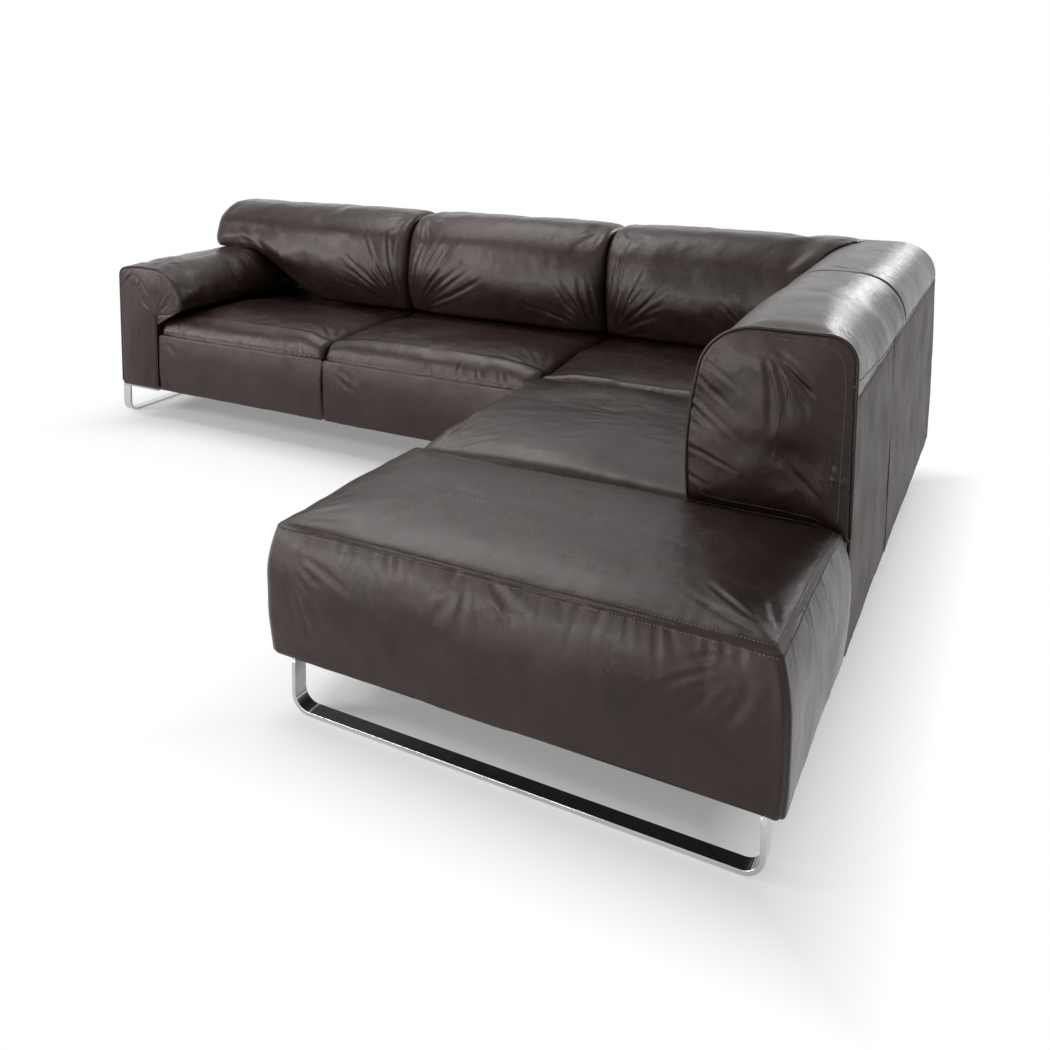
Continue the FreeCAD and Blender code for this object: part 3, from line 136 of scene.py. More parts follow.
def ripple(x: np.ndarray, y: np.ndarray, seed: float) -> np.ndarray:
    """Smooth random hills, about one to each unit of x and y.

    Args:
        x: First coordinates.
        y: Second coordinates.
        seed: Chooses the pattern.

    Returns:
        Heights from about -1 to 1.
    """
    column, line = np.floor(x), np.floor(y)
    across, up = x - column, y - line
    across = across * across * across * (across * (across * 6 - 15) + 10)
    up = up * up * up * (up * (up * 6 - 15) + 10)
    low = lattice(column, line, seed) * (1 - across) + lattice(column + 1, line, seed) * across
    high = lattice(column, line + 1, seed) * (1 - across) + lattice(column + 1, line + 1, seed) * across
    return low * (1 - up) + high * up


@dataclass(frozen=True)
class Fold:
    """One fold in the leather: a bent stroke in a surface's own two coordinates."""

    start: Point
    end: Point
    depth: float
    width: float
    bow: float = 0.0
    fade: Fade = Fade.BOTH_ENDS

    def line(self) -> np.ndarray:
        """The stroke as a row of points."""
        start, end = np.array(self.start), np.array(self.end)
        run = end - start
        middle = (start + end) / 2 + np.array([-run[1], run[0]]) * self.bow
        steps = np.linspace(0.0, 1.0, 9)[:, None]
        return start * (1 - steps) ** 2 + 2 * middle * steps * (1 - steps) + end * steps ** 2

    def press(self, across: np.ndarray, up: np.ndarray, heights: np.ndarray) -> None:
        """Presses the fold into heights, with soft rims beside it.

        Args:
            across: First coordinates of the surface's points.
            up: Second coordinates of the surface's points.
            heights: Heights of the points, changed in place.
        """
        line = self.line()
        margin = self.width * 3
        low, high = line.min(0) - margin, line.max(0) + margin
        near = (across > low[0]) & (across < high[0]) & (up > low[1]) & (up < high[1])
        if not near.any():
            return
        spots = np.stack([across[near], up[near]], axis=-1)
        best = np.full(len(spots), 1e9)
        share = np.zeros(len(spots))
        for index in range(len(line) - 1):
            run = line[index + 1] - line[index]
            step = np.clip(((spots - line[index]) @ run) / (run @ run), 0.0, 1.0)
            away = np.linalg.norm(spots - line[index] - step[:, None] * run, axis=1)
            closer = away < best
            best[closer] = away[closer]
            share[closer] = (index + step[closer]) / (len(line) - 1)
        if self.fade is Fade.BOTH_ENDS:
            strength = np.sin(math.pi * share) ** 0.8
        else:
            strength = (1 - share) ** 0.9
        scaled = (best / self.width) ** 2
        heights[near] -= self.depth * strength * (1 - 2 * scaled) * np.exp(-scaled)


def fan(centre: Point, angles: Point, reach: Point, count: int, depth: float, width: float, seed: int) -> List[Fold]:
    """Folds that run out from one place, such as the corner of a cushion.

    Args:
        centre: The place that they run out from.
        angles: First and last direction in degrees, from the first coordinate's axis.
        reach: Where along the way a fold starts and ends.
        count: How many folds.
        depth: Depth of the deepest fold.
        width: Width of a fold.
        seed: Chooses the pattern.

    Returns:
        The folds.
    """
    draw = np.random.default_rng(seed)
    folds = []
    for index in range(count):
        share = (index + draw.uniform(0.15, 0.85)) / count
        turn = math.radians(angles[0] + (angles[1] - angles[0]) * share)
        near = reach[0] * draw.uniform(0.6, 1.6)
        far = near + (reach[1] - reach[0]) * draw.uniform(0.45, 1.0)
        way = np.array([math.cos(turn), math.sin(turn)])
        start, end = np.array(centre) + way * near, np.array(centre) + way * far
        folds.append(Fold(
            tuple(start), tuple(end), depth * draw.uniform(0.45, 1.0), width * draw.uniform(0.7, 1.3),
            draw.uniform(-0.12, 0.12), Fade.BOTH_ENDS,
        ))
    return folds


def puckers(start: Point, end: Point, way: Point, pitch: float, reach: float, depth: float, seed: int) -> List[Fold]:
    """Short folds that a seam draws into the leather beside it.

    Args:
        start: One end of the seam.
        end: The seam's other end.
        way: Direction in which the folds run away from the seam.
        pitch: Usual distance from one fold to the next.
        reach: Length of the longest fold.
        depth: Depth of the deepest fold.
        seed: Chooses the pattern.

    Returns:
        The folds.
    """
    draw = np.random.default_rng(seed)
    first, last = np.array(start), np.array(end)
    length = float(np.linalg.norm(last - first))
    run = (last - first) / length
    folds, place_now = [], pitch * draw.uniform(0.2, 1.0)
    while place_now < length:
        root = first + run * place_now
        lean = run * draw.uniform(-0.35, 0.35)
        size = reach * draw.uniform(0.3, 1.0)
        tip = root + (np.array(way) + lean) * size
        folds.append(Fold(
            tuple(root), tuple(tip), depth * draw.uniform(0.35, 1.0), draw.uniform(0.006, 0.011),
            draw.uniform(-0.1, 0.1), Fade.FAR_END,
        ))
        place_now += pitch * draw.uniform(0.5, 1.8)
    return folds


@dataclass(frozen=True)
class Wear:
    """Everything that makes one piece's leather uneven."""

    folds: Tuple[Fold, ...] = ()
    swell: float = 0.0022
    swell_size: float = 0.17
    creep: float = 0.0006
    seed: int = 1
    dips: Tuple[Tuple[float, float, float, float], ...] = ()

    def heights(self, across: np.ndarray, up: np.ndarray) -> np.ndarray:
        """How far each point of a surface stands out.

        Args:
            across: First coordinates of the points.
            up: Second coordinates of the points.

        Returns:
            Heights along the surface's outward direction.
        """
        size = self.swell_size
        made = self.swell * ripple(across / size, up / size, self.seed)
        made += self.swell * 0.45 * ripple(across / size * 2.3, up / size * 2.1, self.seed + 7)
        made += self.creep * ripple(across / 0.034, up / 0.052, self.seed + 13)
        made += self.creep * 0.6 * ripple(across / 0.017, up / 0.021, self.seed + 19)
        for spot_across, spot_up, reach, depth in self.dips:
            away = ((across - spot_across) ** 2 + (up - spot_up) ** 2) / reach ** 2
            made -= depth * np.exp(-away)
        for fold in self.folds:
            fold.press(across, up, made)
        return made


# Outlines


@dataclass(frozen=True)
class Span:
    """A stretch of an outline: a straight run between two points, or an arc through three."""

    points: Tuple[Point, ...]
    step: float = HIDDEN_STEP
    seam_start: bool = False
    seam_end: bool = False

    def traced(self, count: int = 33) -> np.ndarray:
        """The stretch as a row of close points."""
        steps = np.linspace(0.0, 1.0, count)[:, None]
        first, last = np.array(self.points[0]), np.array(self.points[-1])
        if len(self.points) == 2:
            return first + (last - first) * steps
        (ax, ay), (bx, by), (cx, cy) = self.points
        double_area = 2 * (ax * (by - cy) + bx * (cy - ay) + cx * (ay - by))
        if abs(double_area) < 1e-9:
            return first + (last - first) * steps
        squares = [px * px + py * py for px, py in self.points]
        centre_x = (squares[0] * (by - cy) + squares[1] * (cy - ay) + squares[2] * (ay - by)) / double_area
        centre_y = (squares[0] * (cx - bx) + squares[1] * (ax - cx) + squares[2] * (bx - ax)) / double_area
        turns = [math.atan2(py - centre_y, px - centre_x) for px, py in self.points]
        whole = 2 * math.pi
        forward_middle, forward_end = (turns[1] - turns[0]) % whole, (turns[2] - turns[0]) % whole
        sweep = forward_end if forward_middle < forward_end else forward_end - whole
        radius = math.hypot(ax - centre_x, ay - centre_y)
        angle = turns[0] + sweep * steps[:, 0]
        return np.stack([centre_x + radius * np.cos(angle), centre_y + radius * np.sin(angle)], axis=-1)

    def shares(self) -> np.ndarray:
        """Where samples lie, as shares of the length, closer together beside a seam."""
        traced = self.traced()
        length = float(np.linalg.norm(np.diff(traced, axis=0), axis=1).sum())
        close = [0.0, 0.0012, 0.0026, 0.0045, 0.008]
        places = [0.0]
        ends = [length]
        if self.seam_start and length > 0.04:
            places = list(close)
        if self.seam_end and length > 0.04:
            ends = [length - distance for distance in reversed(close)]
        room = ends[0] - places[-1]
        count = max(int(round(room / self.step)), 1)
        between = [places[-1] + room * index / count for index in range(1, count)]
        return np.array(places + between + ends)[:-1] / length


def sampled_ring(spans: Sequence[Span], shares: Sequence[np.ndarray], soft: float) -> Tuple[np.ndarray, np.ndarray]:
    """An outline as a ring of points, with every corner softened except at seams.

    Args:
        spans: The outline's stretches in order.
        shares: Where samples lie on each stretch.
        soft: How widely a corner is softened.

    Returns:
        The ring's points, and each point's distance along the outline.
    """
    traced = [span.traced() for span in spans]
    lengths = [float(np.linalg.norm(np.diff(line, axis=0), axis=1).sum()) for line in traced]
    starts = np.concatenate([[0.0], np.cumsum(lengths)])
    places = np.concatenate([starts[index] + part * lengths[index] for index, part in enumerate(shares)])
    line = np.concatenate([part[:-1] for part in traced] + [traced[0][:1]])
    far = np.concatenate([[0.0], np.cumsum(np.linalg.norm(np.diff(line, axis=0), axis=1))])
    whole = far[-1]
    grid = np.linspace(-0.06, whole + 0.06, int((whole + 0.12) / 0.001))
    wrapped = np.mod(grid, whole)
    dense = np.stack([np.interp(wrapped, far, line[:, axis]) for axis in (0, 1)], axis=-1)
    sums = np.concatenate([np.zeros((1, 2)), np.cumsum((dense[1:] + dense[:-1]) / 2, axis=0)])
    seams = [starts[index] for index, span in enumerate(spans) if span.seam_start]
    width = np.full(len(places), soft)
    for seam in seams:
        away = np.abs(places - seam)
        away = np.minimum(away, whole - away)
        width = np.minimum(width, np.maximum(0.0025, away * 0.9))
    spacing = grid[1] - grid[0]
    ring = np.zeros((len(places), 2))
    for axis in (0, 1):
        high = np.interp(places + width, grid, sums[:, axis])
        low = np.interp(places - width, grid, sums[:, axis])
        ring[:, axis] = (high - low) * spacing / (2 * width)
    return ring, places


# Shells


@dataclass
class Shell:
    """A closed soft skin made of rings of points, with its own two coordinates on it."""

    rows: np.ndarray
    across: np.ndarray
    up: np.ndarray
    caps: Tuple[np.ndarray, np.ndarray]

    def normals(self) -> np.ndarray:
        """Outward directions at the points of every ring."""
        around = np.roll(self.rows, -1, axis=1) - np.roll(self.rows, 1, axis=1)
        onwards = np.gradient(self.rows, axis=0)
        out = np.cross(around, onwards)
        size = np.linalg.norm(out, axis=-1, keepdims=True)
        out = out / np.maximum(size, 1e-12)
        return out if self.volume() > 0 else -out

    def volume(self) -> float:
        """Volume that the rings hold, below zero where they run the other way round."""
        points, faces = self.faces()
        total = 0.0
        for size in (3, 4):
            corners = np.array([face for face in faces if len(face) == size])
            for last in range(2, size):
                a, b, c = points[corners[:, 0]], points[corners[:, last - 1]], points[corners[:, last]]
                total += float((a * np.cross(b, c)).sum())
        return total / 6

    def faces(self) -> Tuple[np.ndarray, List[Tuple[int, ...]]]:
        """The skin's points and faces, both ends closed."""
        count, size = self.rows.shape[:2]
        points = np.concatenate([self.rows.reshape(-1, 3), self.caps[0][None], self.caps[1][None]])
        index = np.arange(count * size).reshape(count, size)
        after = np.roll(index, -1, axis=1)
        quads = np.stack([index[:-1], after[:-1], after[1:], index[1:]], axis=-1).reshape(-1, 4)
        first, last = count * size, count * size + 1
        start = [(int(b), int(a), first) for a, b in zip(index[0], after[0])]
        stop = [(int(a), int(b), last) for a, b in zip(index[-1], after[-1])]
        return points, [tuple(quad) for quad in quads.tolist()] + start + stop

    def push(self, amounts: np.ndarray) -> None:
        """Moves every point outwards by an amount."""
        self.rows = self.rows + self.normals() * amounts[..., None]

    def mesh(self, name: str) -> bpy.types.Object:
        """Makes the skin a smooth mesh object."""
        points, faces = self.faces()
        if self.volume() < 0:
            faces = [tuple(reversed(face)) for face in faces]
        return mesh_object(name, points, faces)


def mesh_object(name: str, points: np.ndarray, faces: Sequence[Tuple[int, ...]],
                smooth: bool = True) -> bpy.types.Object:
    """A mesh object from points and faces, linked to the scene.

    Args:
        name: Name of the object and its mesh.
        points: The points, in metres.
        faces: The faces as point numbers.
        smooth: Whether the faces are shaded smooth.

    Returns:
        The object.
    """
    data = bpy.data.meshes.new(name)
    data.from_pydata(np.asarray(points).tolist(), [], list(faces))
    data.validate()
    data.polygons.foreach_set("use_smooth", [smooth] * len(data.polygons))
    data.update()
    made = bpy.data.objects.new(name, data)
    bpy.context.scene.collection.objects.link(made)
    return made


@dataclass(frozen=True)
class ClothRun:
    """How firmly a cushion's skin is blown up before its folds go in."""

    pressure: float = 4.0
    limit: float = 0.009
    frames: int = 20
    shrink: float = -0.015

    def swell(self, shell: Shell, held: np.ndarray) -> None:
        """Blows a skin up as cloth on a coarse copy, and carries the result over.

        Args:
            shell: The skin, changed in place.
            held: True for each ring point that a seam or a hidden edge holds.
        """
        keep_rows = self.thinned(shell.rows[:, 0])
        keep_columns = self.thinned(shell.rows[len(shell.rows) // 2])
        coarse = Shell(
            shell.rows[np.ix_(keep_rows, keep_columns)], shell.across[np.ix_(keep_rows, keep_columns)],
            shell.up[np.ix_(keep_rows, keep_columns)], shell.caps,
        )
        piece = coarse.mesh("cloth_run")
        pins = piece.vertex_groups.new(name="held")
        coarse_held = held[np.ix_(keep_rows, keep_columns)].ravel()
        numbers = [int(number) for number in np.nonzero(coarse_held)[0]]
        total = len(piece.data.vertices)
        pins.add(numbers + [total - 2, total - 1], 1.0, "REPLACE")
        cloth = piece.modifiers.new("cloth", "CLOTH")
        settings = cloth.settings
        settings.quality = 4
        settings.mass = 0.25
        settings.tension_stiffness = 12
        settings.compression_stiffness = 12
        settings.shear_stiffness = 6
        settings.bending_stiffness = 1.5
        settings.shrink_min = self.shrink
        settings.use_pressure = True
        settings.uniform_pressure_force = self.pressure
        settings.effector_weights.gravity = 0.0
        settings.vertex_group_mass = "held"
        scene = bpy.context.scene
        for number in range(1, self.frames + 1):
            scene.frame_set(number)
        ready = piece.evaluated_get(bpy.context.evaluated_depsgraph_get())
        skin_points = coarse.rows.shape[0] * coarse.rows.shape[1]
        moved = np.array([vertex.co for vertex in ready.data.vertices])[:skin_points]
        shift = moved.reshape(coarse.rows.shape) - coarse.rows
        scene.frame_set(1)
        bpy.data.objects.remove(piece)
        size = np.linalg.norm(shift, axis=-1, keepdims=True)
        shift = shift * np.minimum(1.0, self.limit / np.maximum(size, 1e-9))
        shift[~np.isfinite(shift).all(axis=-1)] = 0.0
        shell.rows = shell.rows + self.spread(shift, keep_rows, keep_columns, shell.rows.shape)

    @staticmethod
    def thinned(line: np.ndarray) -> np.ndarray:
        """Numbers of the points of a line that lie at least a cloth step apart."""
        kept, last = [0], line[0]
        for number in range(1, len(line)):
            if np.linalg.norm(line[number] - last) >= CLOTH_STEP:
                kept.append(number)
                last = line[number]
        if kept[-1] != len(line) - 1:
            kept.append(len(line) - 1)
        return np.array(kept)

    @staticmethod
    def spread(shift: np.ndarray, rows: np.ndarray, columns: np.ndarray, shape: Tuple[int, ...]) -> np.ndarray:
        """Carries a coarse skin's moves over to every point of the fine one."""
        full_rows, full_columns = np.arange(shape[0]), np.arange(shape[1])
        wide = np.zeros((len(rows), shape[1], 3))
        wrapped = np.concatenate([columns, [columns[0] + shape[1]]])
        for number in range(len(rows)):
            for axis in range(3):
                values = np.concatenate([shift[number, :, axis], shift[number, :1, axis]])
                wide[number, :, axis] = np.interp(full_columns, wrapped, values)
        made = np.zeros(shape)
        for number in range(shape[1]):
            for axis in range(3):
                made[:, number, axis] = np.interp(full_rows, rows, wide[:, number, axis])
        for _ in range(3):
            around = sum(np.roll(made, turn, axis=1) for turn in (-2, -1, 0, 1, 2)) / 5
            padded = np.concatenate([around[:1]] * 2 + [around] + [around[-1:]] * 2)
            made = sum(padded[start:start + shape[0]] for start in range(5)) / 5
        return made


@dataclass
class Loft:
    """A skin that follows an outline along a wing, rounded over at both ends."""

    wing: Wing
    low: float
    high: float
    outline: Callable[[float], List[Span]]
    round_low: float = 0.022
    round_high: float = 0.022
    soft: float = 0.009
    step: float = FINE_STEP
    zero_span: int = 0
    up_sign: int = 1
    low_at: Optional[Callable[[np.ndarray], np.ndarray]] = None
    high_at: Optional[Callable[[np.ndarray], np.ndarray]] = None

    def rounding(self, radius: float, count: int = 6) -> List[Point]:
        """Distances from an end with how far the outline draws in there."""
        turns = [math.pi / 2 * index / count for index in range(count)]
        return [(radius * (1 - math.cos(turn)), radius * (1 - math.sin(turn))) for turn in turns]

    def stations(self) -> List[Tuple[float, float]]:
        """Places along the wing from the low end to the high end, each with its drawing in."""
        start = self.rounding(self.round_low)
        stop = self.rounding(self.round_high)
        first, last = self.low + self.round_low, self.high - self.round_high
        count = max(int(round((last - first) / self.step)), 2)
        made = [(self.low + away, inset) for away, inset in start]
        made += [(first + (last - first) * index / count, 0.0) for index in range(count + 1)]
        made += [(self.high - away, inset) for away, inset in reversed(stop)]
        return made

    def shell(self) -> Shell:
        """Builds the skin."""
        middle = (self.low + self.high) / 2
        shares = [span.shares() for span in self.outline(middle)]
        rows, across, up = [], [], []
        zero = sum(len(part) for part in shares[: self.zero_span])
        for along, inset in self.stations():
            ring, places = sampled_ring(self.outline(along), shares, self.soft)
            centre = (ring.min(0) + ring.max(0)) / 2
            half = (ring.max(0) - ring.min(0)) / 2
            ring = centre + (ring - centre) * (1 - inset / np.maximum(half, inset + 1e-4))
            rows.append((along, ring))
            across.append(np.full(len(ring), along))
            up.append((places - places[zero]) * self.up_sign)
        placed = [self.placed(along, ring) for along, ring in rows]
        start, start_across, start_up, first_cap = self.end_rings(rows[0], across[0], up[0], self.low_at)
        stop, stop_across, stop_up, last_cap = self.end_rings(rows[-1], across[-1], up[-1], self.high_at)
        return Shell(
            np.array(start[::-1] + placed + stop), np.array(start_across[::-1] + across + stop_across),
            np.array(start_up[::-1] + up + stop_up), (first_cap, last_cap),
        )

    def placed(self, along: float, ring: np.ndarray) -> np.ndarray:
        """A ring in the room, leaning where an end follows a neighbour."""
        where = np.full(len(ring), along)
        share = (along - self.low) / (self.high - self.low)
        if self.low_at is not None:
            where = where + (self.low_at(ring[:, 1]) - self.low) * (1 - share)
        if self.high_at is not None:
            where = where + (self.high_at(ring[:, 1]) - self.high) * share
        return place(self.wing, where, ring[:, 0], ring[:, 1])

    def end_rings(self, row: Tuple[float, np.ndarray], across: np.ndarray, up: np.ndarray,
                  lean: Optional[Callable[[np.ndarray], np.ndarray]]) -> Tuple[list, list, list, np.ndarray]:
        """Rings that close an end towards its middle.

        Args:
            row: The end's place along the wing and its ring.
            across: First coordinates of the ring's points.
            up: Second coordinates of the ring's points.
            lean: The end's place for each height, where it isn't flat.

        Returns:
            The rings from the outside in, their two coordinates, and the middle point.
        """
        along, ring = row
        centre = (ring.min(0) + ring.max(0)) / 2
        count = 24 if lean is not None else 3
        made = []
        for index in range(1, count + 1):
            smaller = centre + (ring - centre) * (1 - index / (count + 1))
            made.append(self.placed(along, smaller))
        tip = self.placed(along, centre[None])[0]
        return made, [across] * count, [up] * count, tip


# Finishes


class Nodes:
    """Short ways to place and join shader nodes in one tree."""

    def __init__(self, tree: bpy.types.NodeTree) -> None:
        """Keeps the tree that nodes go into."""
        self.tree = tree

    def feed(self, socket: bpy.types.NodeSocket, value: object) -> None:
        """Joins an output to an input, or sets the input's value."""
        if isinstance(value, bpy.types.NodeSocket):
            self.tree.links.new(value, socket)
        else:
            socket.default_value = value

    def add(self, kind: str, *first: object, **values: object) -> bpy.types.Node:
        """Adds a node.

        Args:
            kind: The node's type.
            *first: Values or outputs for its first inputs.
            **values: Properties of the node, or its inputs by name with spaces as underscores.

        Returns:
            The node.
        """
        node = self.tree.nodes.new(kind)
        for name, value in values.items():
            if hasattr(node, name):
                setattr(node, name, value)
            else:
                self.feed(node.inputs[name.replace("_", " ")], value)
        for socket, value in zip(node.inputs, first):
            self.feed(socket, value)
        return node

    def math(self, operation: str, first: object, second: object = 0.0) -> bpy.types.NodeSocket:
        """The result of a sum with two numbers or outputs."""
        return self.add("ShaderNodeMath", first, second, operation=operation).outputs[0]

    def spread(self, source: bpy.types.NodeSocket, low: float, high: float,
               out_low: float = 0.0, out_high: float = 1.0) -> bpy.types.NodeSocket:
        """Maps values from low to high onto values from out_low to out_high."""
        return self.add("ShaderNodeMapRange", source, low, high, out_low, out_high).outputs["Result"]

    def noise(self, where: bpy.types.NodeSocket, scale: object, detail: float, **values: float) -> bpy.types.Node:
        """Adds cloudy noise."""
        return self.add("ShaderNodeTexNoise", Vector=where, Scale=scale, Detail=detail, **values)

    def stretched(self, where: bpy.types.NodeSocket, by: Tuple[float, float, float]) -> bpy.types.NodeSocket:
        """Places with each coordinate multiplied."""
        return self.add("ShaderNodeVectorMath", where, by, operation="MULTIPLY").outputs[0]

    def seen(self) -> bpy.types.NodeSocket:
        """1 for rays that show a surface: from the camera, in a mirror or through glass."""
        path = self.add("ShaderNodeLightPath")
        mirrored = self.math("MAXIMUM", path.outputs["Is Glossy Ray"], path.outputs["Is Transmission Ray"])
        return self.math("MAXIMUM", path.outputs["Is Camera Ray"], mirrored)


def shared_group(name: str, inputs: Dict[str, float],
                 outputs: Sequence[str]) -> Tuple[bpy.types.NodeTree, Nodes, object, object]:
    """An empty shader group that takes a place and numbers, and puts out values.

    Args:
        name: The group's name.
        inputs: Names of its number inputs with their usual values.
        outputs: Names of its outputs.

    Returns:
        The group, a helper for its nodes, what comes in and what goes out.
    """
    tree = bpy.data.node_groups.new(name, "ShaderNodeTree")
    tree.interface.new_socket(name="Place", in_out="INPUT", socket_type="NodeSocketVector")
    for label, value in inputs.items():
        tree.interface.new_socket(name=label, in_out="INPUT", socket_type="NodeSocketFloat").default_value = value
    for label in outputs:
        tree.interface.new_socket(name=label, in_out="OUTPUT", socket_type="NodeSocketFloat")
    nodes = Nodes(tree)
    return tree, nodes, nodes.add("NodeGroupInput").outputs, nodes.add("NodeGroupOutput").inputs


def build_grain() -> bpy.types.NodeTree:
    """Pebbled leather grain: cells with fine creases between them, uneven from place to place."""
    tree, nodes, given, result = shared_group(
        "leather_grain", {"Cells per metre": 620.0, "Crease": 0.5}, ["Height", "Creases"]
    )
    bend = nodes.noise(given["Place"], 90.0, 2.0)
    amount = nodes.add("ShaderNodeVectorMath", bend.outputs["Color"], operation="SCALE", Scale=0.0016)
    moved = nodes.add("ShaderNodeVectorMath", given["Place"], amount.outputs[0], operation="ADD").outputs[0]
    edges = [
        nodes.add("ShaderNodeTexVoronoi", feature="DISTANCE_TO_EDGE", Vector=moved, Scale=scale).outputs["Distance"]
        for scale in (given["Cells per metre"], 58.0)
    ]
    pebble = nodes.spread(edges[0], 0.0, 0.35)
    missing = nodes.math("SUBTRACT", 1.0, nodes.spread(edges[1], 0.0, 0.10))
    where = nodes.spread(nodes.noise(given["Place"], 4.5, 2.0).outputs["Fac"], 0.46, 0.66)
    creased = nodes.math("MULTIPLY", nodes.math("MULTIPLY", missing, where), given["Crease"])
    nodes.feed(result["Height"], nodes.math("SUBTRACT", nodes.math("MULTIPLY", pebble, 0.5), creased))
    nodes.feed(result["Creases"], creased)
    return tree


def build_patina() -> bpy.types.NodeTree:
    """Uneven dye and rubbed places over a large surface."""
    tree, nodes, given, result = shared_group("patina", {"Scale": 2.2, "Cloud": 1.0}, ["Tone", "Rub"])
    place_at, scale = given["Place"], given["Scale"]
    slow = nodes.noise(place_at, scale, 4.0, Roughness=0.62, Distortion=0.6)
    quick = nodes.noise(place_at, nodes.math("MULTIPLY", scale, 7.0), 5.0, Roughness=0.7)
    tone = nodes.math("ADD", nodes.math("MULTIPLY", slow.outputs["Fac"], 0.65),
                      nodes.math("MULTIPLY", quick.outputs["Fac"], 0.35))
    nodes.feed(result["Tone"], nodes.math("MULTIPLY", nodes.spread(tone, 0.36, 0.66), given["Cloud"]))
    rubbed = nodes.noise(place_at, nodes.math("MULTIPLY", scale, 2.6), 3.0, Roughness=0.5)
    nodes.feed(result["Rub"], nodes.spread(rubbed.outputs["Fac"], 0.4, 0.7))
    return tree


def build_weave() -> bpy.types.NodeTree:
    """Plain woven threads over and under each other."""
    tree, nodes, given, result = shared_group("weave", {"Threads per metre": 700.0}, ["Height"])
    parts = nodes.add("ShaderNodeSeparateXYZ", given["Place"]).outputs
    waves = []
    for first, second in (("X", "Y"), ("Y", "Z")):
        turns = nodes.math("MULTIPLY", given["Threads per metre"], math.pi)
        both = nodes.math("ADD", parts[first], parts[second])
        waves.append(nodes.math("SINE", nodes.math("MULTIPLY", both, turns)))
    nodes.feed(result["Height"], nodes.math("MULTIPLY", waves[0], waves[1]))
    return tree


def build_smudges() -> bpy.types.NodeTree:
    """Faint finger marks and fine scratches on polished or brushed metal."""
    tree, nodes, given, result = shared_group("smudges", {"Scale": 9.0, "Scratch": 0.3}, ["Marks", "Height"])
    cloud = nodes.noise(given["Place"], given["Scale"], 4.0, Roughness=0.6)
    nodes.feed(result["Marks"], nodes.spread(cloud.outputs["Fac"], 0.42, 0.72))
    lines = nodes.noise(nodes.stretched(given["Place"], (14.0, 14.0, 900.0)), 1.0, 2.0)
    nodes.feed(result["Height"], nodes.math("MULTIPLY", lines.outputs["Fac"], given["Scratch"]))
    return tree


@dataclass(frozen=True)
class Finish:
    """A finish with its colours and gloss. Each kind adds its own nodes."""

    name: str
    base: Tuple[float, float, float]
    second: Tuple[float, float, float]
    roughness: Tuple[float, float]
    bump: float = 0.0

    def build(self, groups: Dict[str, bpy.types.NodeTree]) -> bpy.types.Material:
        """Makes the material.

        Args:
            groups: The shared effects by name.

        Returns:
            The material.
        """
        material = bpy.data.materials.new(self.name)
        material.use_nodes = True
        material.diffuse_color = (*self.base, 1.0)
        nodes = Nodes(material.node_tree)
        where = nodes.add("ShaderNodeTexCoord").outputs["Object"]
        inputs = material.node_tree.nodes["Principled BSDF"].inputs
        mask, rough, height = self.patterns(nodes, where, groups, inputs)
        mix = nodes.add("ShaderNodeMix", data_type="RGBA")
        for socket, value in zip((mix.inputs[0], mix.inputs[6], mix.inputs[7]),
                                 (mask, (*self.base, 1.0), (*self.second, 1.0))):
            nodes.feed(socket, value)
        nodes.feed(inputs["Base Color"], mix.outputs[2])
        nodes.feed(inputs["Roughness"], rough)
        bump = nodes.add("ShaderNodeBump", Strength=1.0, Distance=self.bump, Height=height)
        nodes.feed(inputs["Normal"], bump.outputs["Normal"])
        return material

    def patterns(self, nodes: Nodes, where: bpy.types.NodeSocket, groups: Dict[str, bpy.types.NodeTree],
                 inputs: bpy.types.bpy_prop_collection) -> Tuple[object, object, object]:
        """Colour mask, roughness and height, which each kind of finish makes in its own way."""
        raise NotImplementedError

    def grouped(self, nodes: Nodes, tree: bpy.types.NodeTree, where: bpy.types.NodeSocket,
                **values: float) -> bpy.types.bpy_prop_collection:
        """Adds a shared effect and gives its outputs."""
        return nodes.add("ShaderNodeGroup", node_tree=tree, Place=where, **values).outputs


@dataclass(frozen=True)
class LeatherFinish(Finish):
    """Waxed, slightly uneven leather with a fine grain."""

    crease: float = 0.55
    cloud: float = 1.0

    def patterns(self, nodes: Nodes, where: bpy.types.NodeSocket, groups: Dict[str, bpy.types.NodeTree],
                 inputs: bpy.types.bpy_prop_collection) -> Tuple[object, object, object]:
        """Colour mask, roughness and height, with the wax set on the shader."""
        grain = self.grouped(nodes, groups["grain"], where, Crease=self.crease)
        patina = self.grouped(nodes, groups["patina"], where, Cloud=self.cloud)
        mask = nodes.math("SUBTRACT", patina["Tone"], nodes.math("MULTIPLY", grain["Creases"], 0.5))
        rough = nodes.spread(patina["Rub"], 0.0, 1.0, *self.roughness)
        for name, value in (("Specular IOR Level", 0.30), ("Specular Tint", (1.0, 0.92, 0.88, 1.0)),
                            ("Coat Weight", 0.04), ("Coat Roughness", 0.18)):
            inputs[name].default_value = value
        creased = nodes.math("ADD", rough, nodes.math("MULTIPLY", grain["Creases"], 0.2))
        return nodes.math("MAXIMUM", mask), creased, grain["Height"]


@dataclass(frozen=True)
class MarkedFinish(Finish):
    """Metal or moulded plastic with faint marks."""

    scratch: float = 0.3
    metallic: float = 1.0

    def patterns(self, nodes: Nodes, where: bpy.types.NodeSocket, groups: Dict[str, bpy.types.NodeTree],
                 inputs: bpy.types.bpy_prop_collection) -> Tuple[object, object, object]:
        """Colour mask, roughness and height."""
        marks = self.grouped(nodes, groups["smudges"], where, Scratch=self.scratch)
        inputs["Metallic"].default_value = self.metallic
        return marks["Marks"], nodes.spread(marks["Marks"], 0.0, 1.0, *self.roughness), marks["Height"]


